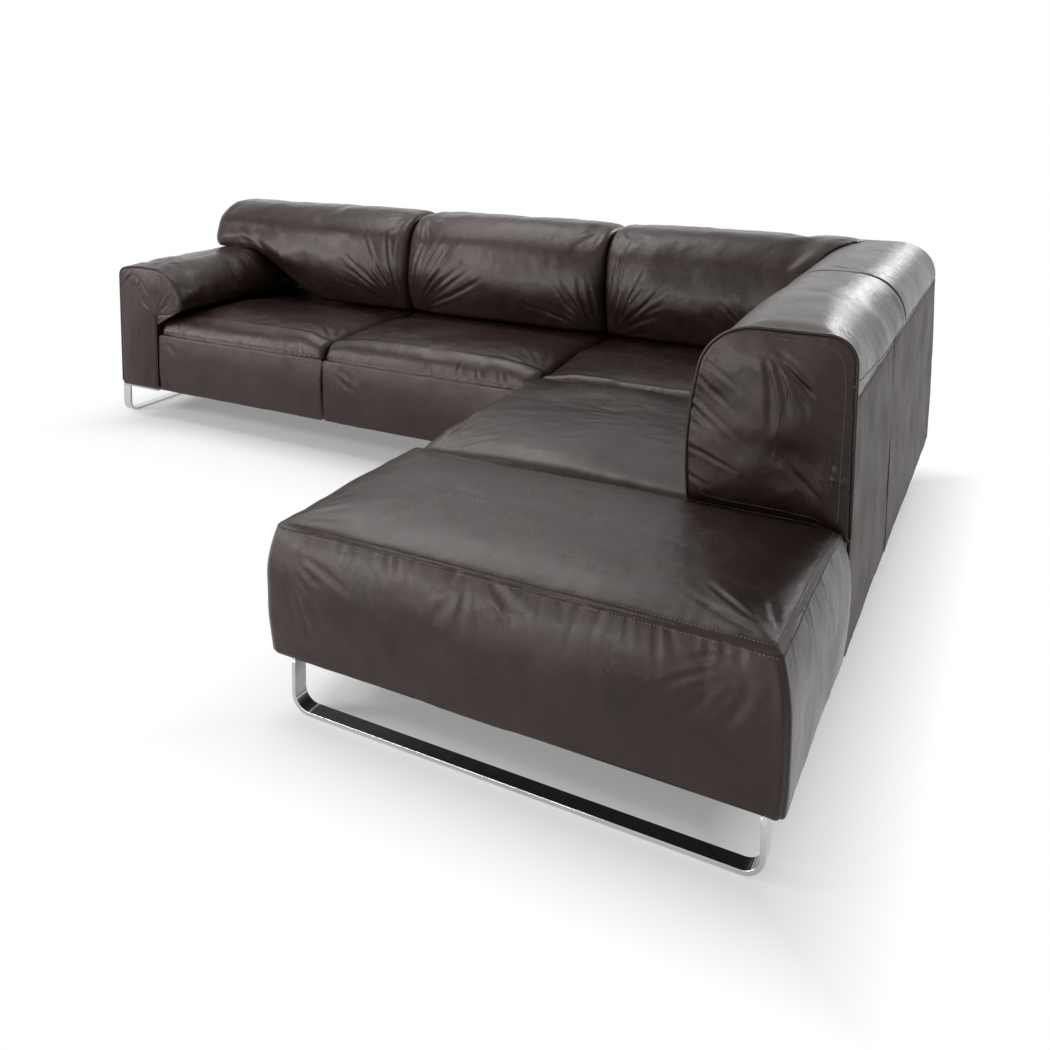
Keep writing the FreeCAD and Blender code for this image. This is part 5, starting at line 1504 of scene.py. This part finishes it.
@dataclass
class Pillow:
    """A domed leather panel that closes the end of a roll, with piping round its edge."""

    wing: Wing
    along: float
    sign: int
    spans: List[Span]
    spine: Tuple[Point, Point]
    thick: float
    edge: float

    def ring(self, inset: float = 0.0) -> np.ndarray:
        """The panel's edge, drawn in by an inset."""
        shares = [Span(span.points, 0.008).shares() for span in self.spans]
        ring, _ = sampled_ring([Span(span.points, 0.008) for span in self.spans], shares, 0.010)
        spine = self.nearest(ring)
        away = np.linalg.norm(ring - spine, axis=1, keepdims=True)
        return spine + (ring - spine) * (1 - inset / away)

    def nearest(self, ring: np.ndarray) -> np.ndarray:
        """For each edge point, the nearest point of the panel's spine."""
        first, last = np.array(self.spine[0]), np.array(self.spine[1])
        run = last - first
        share = np.clip(((ring - first) @ run) / (run @ run), 0.0, 1.0)
        return first + share[:, None] * run

    def shell(self) -> Shell:
        """Builds the skin from its flat back to the middle of its domed face."""
        ring = self.ring(0.003)
        spine = self.nearest(ring)
        layers = [(0.5, 0.0), (0.97, 0.0), (1.0, 0.0012)]
        for index in range(1, 7):
            turn = math.pi / 2 * index / 6
            layers.append((1.0 - 0.05 * (1 - math.cos(turn)), self.edge * math.sin(turn)))
        count = 34
        for index in range(1, count):
            share = 0.95 * (1 - index / count)
            dome = self.edge + (self.thick - self.edge) * (1 - (share / 0.95) ** 2.2)
            layers.append((share, dome))
        layers += [(0.010, self.thick), (0.004, self.thick)]
        rows, across, up = [], [], []
        round_ring = sum(np.roll(ring, turn, axis=0) for turn in range(-14, 15)) / 29
        for share, forward in layers:
            eased = round_ring + (ring - round_ring) * min(share / 0.95, 1.0) ** 3
            flat = spine + (eased - spine) * share
            along = np.full(len(flat), self.along + self.sign * forward)
            rows.append(place(self.wing, along, flat[:, 0], flat[:, 1]))
            across.append(flat[:, 0])
            up.append(flat[:, 1])
        middle = np.array(self.spine).mean(0)
        caps = [
            place(self.wing, np.array(self.along + self.sign * forward), middle[0], middle[1])
            for forward in (0.0, self.thick)
        ]
        return Shell(np.array(rows), np.array(across), np.array(up), (caps[0], caps[1]))

    def build(self, shop: Workshop, name: str, nodes: Tuple[str, ...], wear: Wear) -> Shell:
        """Builds the panel with its folds and hands it over.

        Args:
            shop: The workshop with the materials.
            name: Name of the piece.
            nodes: CAD nodes that it stands for.
            wear: Its unevenness.

        Returns:
            The finished skin.
        """
        shell = self.shell()
        amounts = wear.heights(shell.across, shell.up)
        amounts[:4] = 0.0
        corner = np.zeros(())
        away = place(self.wing, corner + self.sign, corner, corner) - place(self.wing, corner, corner, corner)
        shell.rows = shell.rows + away * amounts[..., None]
        shop.hand_over(shell.mesh(name), "leather_hide", nodes)
        return shell

    def trim(self, shop: Workshop, name: str, shell: Shell) -> None:
        """Adds piping along the edge and a row of stitches inside it.

        Args:
            shop: The workshop with the materials.
            name: First word of the pieces' names.
            shell: The panel's finished skin.
        """
        ring = self.ring()
        kept = ring[:, 1] > ring[:, 1].min() + 0.012
        order = np.roll(np.arange(len(ring)), -int(np.argmin(kept)))
        order = order[kept[order]]
        edge = place(self.wing, np.full(len(order), self.along + self.sign * 0.001), ring[order, 0], ring[order, 1])
        shop.hand_over(tube(f"{name}_piping", edge, 0.0036), "leather_piping")
        row = 11
        line = shell.rows[row][order]
        shop.hand_over(stitches(f"{name}_stitching", [(line, shell.normals()[row][order])]), "thread")


@dataclass
class Ottoman:
    """The seamed block at the return's front: upright sides under a crowned top."""

    width: float = 1.140
    depth: float = 0.6235
    seam: float = 0.424
    crown: float = 0.034
    right_corner: float = 0.016
    left_corner: float = 0.028
    rear_corner: float = 0.010
    side_bulge: float = 0.012
    edge_draw: float = 0.020
    edge_reach: float = 0.130

    def ring(self) -> np.ndarray:
        """The plan outline as a rounded rectangle, front corners first, in wing coordinates."""
        right, left, rear = self.right_corner, self.left_corner, self.rear_corner
        corners = [
            ((right, right), math.pi, right),
            ((self.depth - rear, rear), 1.5 * math.pi, rear),
            ((self.depth - rear, self.width - rear), 0.0, rear),
            ((left, self.width - left), 0.5 * math.pi, left),
        ]
        points: List[np.ndarray] = []
        for centre, start, radius in corners:
            turns = np.linspace(start, start + math.pi / 2, 9)
            arc = np.stack([centre[0] + radius * np.cos(turns), centre[1] + radius * np.sin(turns)], axis=-1)
            if points:
                points.append(self.between(points[-1][-1], arc[0]))
            points.append(arc)
        points.append(self.between(points[-1][-1], points[0][0]))
        return np.concatenate(points)

    @staticmethod
    def between(start: np.ndarray, end: np.ndarray) -> np.ndarray:
        """Points strictly between two places at the fine step."""
        count = max(int(np.linalg.norm(end - start) / 0.008), 2)
        steps = np.linspace(0, 1, count + 1)[1:-1, None]
        return start + (end - start) * steps

    def shell(self) -> Tuple[Shell, np.ndarray]:
        """Builds the skin and the row numbers beside the top seam."""
        ring = self.ring()
        centre = np.array([self.depth / 2, self.width / 2])
        far = np.concatenate([[0.0], np.cumsum(np.linalg.norm(np.diff(ring, axis=0), axis=1))])
        spine_half = self.width / 2 - self.depth / 2
        spine = np.stack([
            np.full(len(ring), centre[0]), np.clip(ring[:, 1], centre[1] - spine_half, centre[1] + spine_half),
        ], axis=-1)
        out = ring - spine
        away = np.linalg.norm(out, axis=1, keepdims=True)
        rows, across, up = [], [], []
        base = PLAN.underside

        def add(share: np.ndarray, height: float, count_up: float) -> None:
            """Adds a ring at a share of the way out from the spine."""
            flat = spine + out * share
            rows.append(place(Wing.RETURN, flat[:, 0], flat[:, 1], np.full(len(flat), height)))
            across.append(far)
            up.append(np.full(len(flat), count_up))

        for share in (0.3, 0.7, 0.96):
            add(np.full_like(away, share), base, base - self.seam)
        add(1 - 0.004 / away, base, base - self.seam)
        heights = [0.001, 0.003, 0.006]
        wall = self.seam - base
        heights += [0.006 + (wall - 0.024) * index / 38 for index in range(1, 38)]
        heights += [wall - 0.018, wall - 0.013, wall - 0.0095, wall - 0.0068, wall - 0.0050, wall - 0.0038]
        for height in heights:
            share_up = height / wall
            belly = self.side_bulge * math.sin(math.pi * min(share_up, 1.0)) ** 0.8
            lip = 0.003 * max(0.0, 1 - height / 0.006)
            near_top = max(0.0, 1 - (wall - height) / self.edge_reach)
            level = base + height
            add(1 + (belly - lip - self.edge_draw * near_top ** 2.2) / away, level, level - self.seam)
        add(1 - (self.edge_draw + 0.0042) / away, self.seam - 0.0026, 0.0)
        insets = [self.edge_draw + more for more in (0.0034, 0.0050, 0.0078, 0.012, 0.018, 0.026)]
        first = insets[-1]
        insets += [first + (0.29 - first) * index / 36 for index in range(1, 37)]
        for inset in insets:
            share = 1 - inset / (self.depth / 2)
            past = inset - self.edge_draw
            lip_rise = 0.004 * math.sin(min(past / 0.014, 1) * math.pi / 2)
            rise = self.crown * (1 - math.exp(-past / 0.070)) + lip_rise
            add(np.full_like(away, share), self.seam + rise - 0.004 * min(past / 0.26, 1), past)
        middle_low = place(Wing.RETURN, np.array(centre[0]), centre[1], base)
        middle_high = place(Wing.RETURN, np.array(centre[0]), centre[1], self.seam + self.crown)
        shell = Shell(np.array(rows), np.array(across), np.array(up), (middle_low, middle_high))
        return shell, ring

    def build(self, shop: Workshop) -> None:
        """Builds the block, its seams and its stitching."""
        shell, ring = self.shell()
        top = shell.up > 0.0005
        side = shell.up < -0.0005
        length = float(shell.across.max())
        corner_right = float(shell.across[0, 4])
        front_end = length
        front_start = float(length - (self.width - self.left_corner - self.right_corner))
        folds = puckers((front_start, 0.0), (front_end, 0.0), (0, -1), 0.034, 0.13, 0.0030, 71)
        folds += fan((front_start + 0.5, 0.02), (-165, -15), (0.03, 0.2), 9, 0.002, 0.013, 72)
        folds += fan((front_end - 0.03, -0.02), (-170, -110), (0.02, 0.22), 6, 0.0026, 0.012, 73)
        folds += fan((front_start + 0.02, -0.04), (-80, -10), (0.02, 0.22), 6, 0.0024, 0.012, 74)
        folds += puckers((0.05, 0.0), (0.62, 0.0), (0, -1), 0.07, 0.09, 0.002, 75)
        walls = Wear(tuple(folds), 0.0026, 0.17, 0.0006, 76)
        amounts = np.where(side, walls.heights(shell.across, shell.up), 0.0)
        amounts[:4] = 0.0
        plan_x, plan_y = shell.rows[..., 0], shell.rows[..., 1]
        left, front = float(plan_x.min()), float(plan_y.min())
        top_folds = fan((left + 0.03, front + 0.04), (5, 85), (0.03, 0.22), 6, 0.002, 0.013, 81)
        top_folds += fan((float(plan_x.max()) - 0.03, front + 0.04), (95, 175), (0.03, 0.25), 6, 0.0022, 0.013, 82)
        top_folds += puckers((left + 0.04, front + 0.01), (left + 1.1, front + 0.01), (0, 1), 0.08, 0.08, 0.0015, 83)
        lid = Wear(tuple(top_folds), 0.0026, 0.21, 0.0006, 84)
        amounts = np.where(top, lid.heights(plan_x, plan_y), amounts)
        seam_away = np.abs(shell.across - corner_right)
        amounts -= np.where(side, 0.0022 * np.exp(-(seam_away / 0.0035) ** 2), 0.0)
        fade = np.clip(np.abs(shell.up) / 0.006, 0.0, 1.0)
        shell.push(amounts * fade)
        shop.hand_over(shell.mesh("ottoman_cushion"), "leather_hide", ("ottoman_cover", "ottoman_foam"))
        rows = [int(np.abs(shell.up[:, 0] - away).argmin()) for away in (0.0075, -0.0075)]
        normals = shell.normals()
        lines = []
        front_rows = shell.across[0] > 0.0
        behind = ring[:, 0] < self.depth - 0.012
        order = np.roll(np.arange(len(ring)), -int(np.argmin(behind)))
        order = order[behind[order] & front_rows[order]]
        for row in rows:
            lines.append((shell.rows[row][order], normals[row][order]))
        shop.hand_over(stitches("ottoman_stitching", lines), "thread")


@dataclass
class Arm:
    """The rolled arm with its padded front."""

    width: float = 0.215
    length: float = 0.976
    top: float = 0.645
    crown: float = 0.008
    reach: float = 0.356
    roll: float = 0.517
    tuck: float = 0.466
    inner: float = 0.450
    corner: float = 0.036
    front_panel: float = 0.010

    def spans(self, inset: float = 0.0) -> List[Span]:
        """The arm's outline across its length, clockwise from its outer foot."""
        radius, bend = self.corner, 1 - math.sqrt(0.5)
        reach, tuck = self.reach - inset, self.tuck + inset
        inner, left = self.width - inset, inset
        top_end = (self.width - 0.030, self.top + self.crown - 0.002 - inset)
        low, high = (left, self.top - radius), (left + radius, self.top - inset)
        return [
            Span(((left, PLAN.underside), low), 0.012),
            Span((low, (left + radius * bend, self.top - inset - radius * bend), high), 0.006),
            Span((high, (left + radius * 2.6, self.top + self.crown - inset), top_end), 0.008),
            Span((top_end, (reach - 0.044, self.roll + 0.088 - inset * 0.4), (reach, self.roll)), 0.008),
            Span(
                ((reach, self.roll), (reach - 0.008, (self.roll + tuck) / 2 - 0.006), (reach - 0.038, tuck)), 0.008,
            ),
            Span(((reach - 0.038, tuck), (inner, self.inner + inset)), 0.012),
            Span(((inner, self.inner + inset), (inner, PLAN.underside)), 0.02),
            Span(((inner, PLAN.underside), (left, PLAN.underside)), 0.03),
        ]

    def build(self, shop: Workshop) -> None:
        """Builds the arm, its front and their trim."""
        front = self.length - self.front_panel
        start = PLAN.frame_depth + 0.0005

        def outline(along: float) -> List[Span]:
            """The outline, the same at every place along the arm."""
            return self.spans()

        folds = puckers((front, 0.86), (start, 0.86), (0, -1), 0.06, 0.10, 0.0022, 91)
        folds += fan((front - 0.02, 0.70), (150, 240), (0.03, 0.24), 7, 0.0024, 0.012, 92)
        folds += fan((front - 0.03, 0.52), (140, 220), (0.03, 0.28), 6, 0.0022, 0.014, 93)
        loft = Loft(Wing.ARM, start, front, outline, 0.012, 0.010, 0.008)
        SoftPiece(
            "arm_cushion", ("arm_cover", "arm_foam"), loft, Wear(tuple(folds), 0.0026, 0.16, 0.0006, 94), 0.7,
            ClothRun(), (0.53, 0.95),
        ).build(shop)
        pillow = Pillow(
            Wing.ARM, front + 0.0005, 1, self.spans(0.004), ((0.107, 0.24), (0.135, 0.56)), 0.013, 0.006
        )
        front_folds = puckers((0.345, 0.50), (0.25, 0.47), (-0.4, 1), 0.022, 0.05, 0.003, 95)
        front_folds += fan((0.215, 0.455), (20, 150), (0.02, 0.12), 7, 0.0026, 0.010, 96)
        front_folds += fan((0.10, 0.64), (-150, -30), (0.03, 0.16), 5, 0.0018, 0.011, 97)
        wear = Wear(tuple(front_folds), 0.0018, 0.12, 0.0006, 98)
        shell = pillow.build(shop, "arm_front_cushion", ("arm_front_panel",), wear)
        pillow.trim(shop, "arm_front", shell)


@dataclass
class OuterPanels:
    """The leather panels on the sofa's rear and outer faces."""

    thick: float = 0.006
    bulge: float = 0.002

    def build(self, shop: Workshop) -> None:
        """Builds the five panels."""
        half_gap = PLAN.gap / 2
        skin = 0.0063
        places = {
            "right_panel_front": (Wing.RETURN, PLAN.ottoman + half_gap, PLAN.side_split - half_gap),
            "right_panel_rear": (Wing.RETURN, PLAN.side_split + half_gap, PLAN.rear),
            "rear_panel_corner": (Wing.LONG, skin, PLAN.split_23 - half_gap),
            "rear_panel_wing": (Wing.LONG, PLAN.split_23 + half_gap, PLAN.left),
            "left_end_panel": (Wing.ARM, skin, PLAN.frame_depth),
        }
        lines = []
        for number, (name, (wing, low, high)) in enumerate(places.items()):
            bulge = self.bulge if high - low > 0.1 else 0.0005
            top = PLAN.roll_seam - 0.0003
            panel = Panel(wing, low, high, 0.0, -1, PLAN.underside, top, self.thick, bulge, 0.004)
            folds: List[Fold] = []
            if high - low > 0.1:
                folds = puckers((low + 0.02, 0.0), (high - 0.02, 0.0), (0, -1), 0.10, 0.22, 0.0016, 400 + number)
                folds += puckers((low + 0.02, -0.59), (high - 0.02, -0.59), (0, 1), 0.12, 0.2, 0.0012, 420 + number)
            piece = SoftPiece(
                f"{name}_leather", (name,), panel.loft(), Wear(tuple(folds), 0.0014, 0.2, 0.0004, 440 + number), 0.3,
                finish="leather_panel",
            )
            shell = piece.build(shop)
            if high - low > 0.1:
                lines.append(column_line(shell, -0.0075))
        shop.hand_over(stitches("outer_stitching", lines), "thread")


@dataclass
class Sleds:
    """Three bent flat bars of polished metal."""

    bar: float = 0.010
    wide: float = 0.040
    bend: float = 0.045
    edge: float = 0.0012
    floor: float = 0.002

    def section(self) -> np.ndarray:
        """The bar's section with eased edges, through its thickness and its width."""
        half_thick, half_wide, edge = self.bar / 2, self.wide / 2, self.edge
        points = []
        for sign_thick, sign_wide, start in ((1, 1, 0.0), (-1, 1, 90.0), (-1, -1, 180.0), (1, -1, 270.0)):
            for turn in (0, 30, 60, 90):
                angle = math.radians(start + turn)
                points.append((
                    sign_thick * (half_thick - edge) + edge * math.cos(angle),
                    sign_wide * (half_wide - edge) + edge * math.sin(angle),
                ))
        return np.array(points)

    def path(self, low: float, high: float, top: float) -> np.ndarray:
        """The middle line of a bar in its own upright plane, with its outward directions.

        Args:
            low: Outer face of the first leg.
            high: Outer face of the other leg.
            top: Height at which both legs end.

        Returns:
            Rows of place, height, and the outward direction's two parts.
        """
        half, radius, floor = self.bar / 2, self.bend - self.bar / 2, self.floor
        rows = [(low + half, height, -1.0, 0.0) for height in np.linspace(top, floor + self.bend, 6)]
        for turn in np.linspace(0, math.pi / 2, 13)[1:]:
            rows.append((
                low + self.bend - radius * math.cos(turn), floor + self.bend - radius * math.sin(turn),
                -math.cos(turn), -math.sin(turn),
            ))
        for where in np.linspace(low + self.bend, high - self.bend, 14)[1:]:
            rows.append((where, floor + half, 0.0, -1.0))
        for turn in np.linspace(0, math.pi / 2, 13)[1:]:
            rows.append((
                high - self.bend + radius * math.sin(turn), floor + self.bend - radius * math.cos(turn),
                math.sin(turn), -math.cos(turn),
            ))
        rows += [(high - half, height, 1.0, 0.0) for height in np.linspace(floor + self.bend, top, 6)[1:]]
        return np.array(rows)

    def build(self, shop: Workshop) -> None:
        """Builds the three sleds in the CAD sleds' places."""
        for name in ("ottoman_sled", "corner_sled", "arm_sled"):
            low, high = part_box(name)
            along_x = high.x - low.x > high.y - low.y
            first, last = (low.x, high.x) if along_x else (low.y, high.y)
            middle = (low.y + high.y) / 2 if along_x else (low.x + high.x) / 2
            section = self.section()
            rows = []
            for where, height, out_along, out_up in self.path(first, last, high.z):
                along = where + section[:, 0] * out_along
                up = height + section[:, 0] * out_up
                side = middle + section[:, 1]
                ring = (along, side, up) if along_x else (side, along, up)
                rows.append(np.stack(ring, axis=-1))
            flat = np.zeros((len(rows), len(section)))
            skin = Shell(np.array(rows), flat, flat, (rows[0].mean(0), rows[-1].mean(0)))
            piece = skin.mesh(f"{name}_bar")
            piece.modifiers.new("edges", "WEIGHTED_NORMAL").keep_sharp = True
            shop.hand_over(piece, "polished_chrome", (name,))


# Room


@dataclass(frozen=True)
class Lamp:
    """A soft rectangular lamp: where it hangs, what it points at, its size and its power in watts."""

    name: str
    at: Tuple[float, float, float]
    aim: Tuple[float, float, float]
    size: Tuple[float, float]
    power: float

    def hang(self) -> None:
        """Adds the lamp to the scene."""
        data = bpy.data.lights.new(self.name, "AREA")
        data.shape = "RECTANGLE"
        data.size, data.size_y = self.size
        data.energy = self.power
        lamp = bpy.data.objects.new(self.name, data)
        lamp.location = self.at
        lamp.rotation_euler = (Vector(self.aim) - Vector(self.at)).to_track_quat("-Z", "Y").to_euler()
        bpy.context.scene.collection.objects.link(lamp)


LAMPS = (
    Lamp("lamp_rear", (2.0, 4.0, 2.3), (1.3, 0.2, 0.8), (0.8, 0.8), 34.0),
    Lamp("lamp_over", (-1.2, 0.6, 3.6), (0.0, 0.0, 0.4), (3.0, 1.6), 84.0),
    Lamp("lamp_left", (-3.0, -2.7, 2.3), (-0.3, 0.1, 0.45), (1.5, 0.4), 55.0),
    Lamp("lamp_low", (-0.9, -4.0, 0.6), (0.4, -0.6, 0.4), (2.4, 0.45), 62.0),
    Lamp("lamp_side", (-4.0, -3.0, 1.1), (-0.4, 0.5, 0.6), (1.6, 0.5), 64.0),
)


@dataclass
class Studio:
    """The pale floor, the soft lamps and the camera."""

    focal: float = 36.17
    place_at: Tuple[float, float, float] = (1.896, -2.963, 1.390)
    turned: float = 30.1
    pitch: float = 6.4
    shift: Tuple[float, float] = (0.08, -0.30)
    floor_half: float = 30.0
    # Footprint box, notch and fade of the painted shadow: near the sofa the floor's white glow drops to its least
    # share.
    painted_shadow_half_x: float = 1.55
    painted_shadow_half_y: float = 1.15
    painted_shadow_shift_y: float = 0.1
    painted_shadow_notch_x: float = 0.45
    painted_shadow_fade: Tuple[float, float] = (-0.16, 0.20)
    painted_shadow_glow: float = 0.20

    def floor(self) -> None:
        """Lays the floor, which glows white away from the sofa and less near its footprint: a painted shadow laid
        over the real one under it.
        """
        half = self.floor_half
        piece = mesh_object(
            "floor", np.array([(-half, -half, 0.0), (half, -half, 0.0), (half, half, 0.0), (-half, half, 0.0)]),
            [(0, 1, 2, 3)], smooth=False,
        )
        material = bpy.data.materials.new("studio_floor")
        material.use_nodes = True
        nodes = Nodes(material.node_tree)
        shader = material.node_tree.nodes["Principled BSDF"]
        shader.inputs["Roughness"].default_value = 0.9
        shader.inputs["Specular IOR Level"].default_value = 0.1
        cloud = nodes.add("ShaderNodeTexNoise", Scale=1.5, Detail=2.0).outputs["Fac"]
        mix = nodes.add("ShaderNodeMix", data_type="RGBA")
        mix.inputs[6].default_value = (0.82, 0.82, 0.82, 1.0)
        mix.inputs[7].default_value = (0.84, 0.84, 0.84, 1.0)
        nodes.feed(mix.inputs[0], cloud)
        nodes.feed(shader.inputs["Base Color"], mix.outputs[2])
        where = nodes.add("ShaderNodeTexCoord").outputs["Object"]
        # Painted shadow: the glow fades out towards the sofa's footprint, so the floor is darker round the sofa under
        # any lamp.
        x, y, _ = nodes.add("ShaderNodeSeparateXYZ", where).outputs
        beside = nodes.math("SUBTRACT", nodes.math("ABSOLUTE", x), self.painted_shadow_half_x)
        forward = nodes.math("ABSOLUTE", nodes.math("ADD", y, self.painted_shadow_shift_y))
        before = nodes.math("SUBTRACT", forward, self.painted_shadow_half_y)
        notch = nodes.math("MINIMUM", nodes.math("SUBTRACT", self.painted_shadow_notch_x, x), nodes.math("SUBTRACT", 0.0, y))
        away = nodes.math("MAXIMUM", nodes.math("MAXIMUM", beside, before), notch)
        share = nodes.math("MULTIPLY", nodes.seen(), nodes.spread(away, *self.painted_shadow_fade, self.painted_shadow_glow, 1.0))
        glow = nodes.add("ShaderNodeEmission", (1.0, 1.0, 1.0, 1.0), 1.0)
        both = nodes.add("ShaderNodeMixShader", share, shader.outputs[0], glow.outputs[0])
        nodes.feed(material.node_tree.nodes["Material Output"].inputs["Surface"], both.outputs[0])
        piece.data.materials.append(material)

    def world(self) -> None:
        """Sets the surroundings: white where they are seen, plain and soft as light."""
        world = bpy.data.worlds.new("studio")
        world.use_nodes = True
        bpy.context.scene.world = world
        nodes = Nodes(world.node_tree)
        back = world.node_tree.nodes["Background"]
        back.inputs["Color"].default_value = (1.0, 1.0, 1.0, 1.0)
        nodes.feed(back.inputs["Strength"], nodes.spread(nodes.seen(), 0.0, 1.0, 0.30, 1.0))

    def camera(self) -> None:
        """Puts the camera at the photograph's viewpoint."""
        data = bpy.data.cameras.new("camera")
        data.sensor_width = 36.0
        data.lens = self.focal
        data.shift_x, data.shift_y = self.shift
        data.clip_end = 100.0
        piece = bpy.data.objects.new("camera", data)
        piece.location = self.place_at
        piece.rotation_euler = (math.radians(90 - self.pitch), 0.0, math.radians(self.turned))
        bpy.context.scene.collection.objects.link(piece)
        bpy.context.scene.camera = piece

    def build(self) -> None:
        """Sets the whole room up."""
        self.camera()
        self.floor()
        self.world()
        for lamp in LAMPS:
            lamp.hang()
        bpy.context.scene.view_settings.view_transform = "Standard"


def main() -> None:
    """Builds the sofa's pieces in order, and the room round them."""
    logging.basicConfig(level=logging.INFO, format="%(message)s")
    shop = Workshop()
    Studio().build()
    shop.dress_nodes(frame["record"])
    for part in (Sleds(), Seats(), Ottoman(), Backs(), Arm(), OuterPanels()):
        part.build(shop)
        LOG.info("%s is in place", type(part).__name__)


if __name__ == "__main__":
    main()
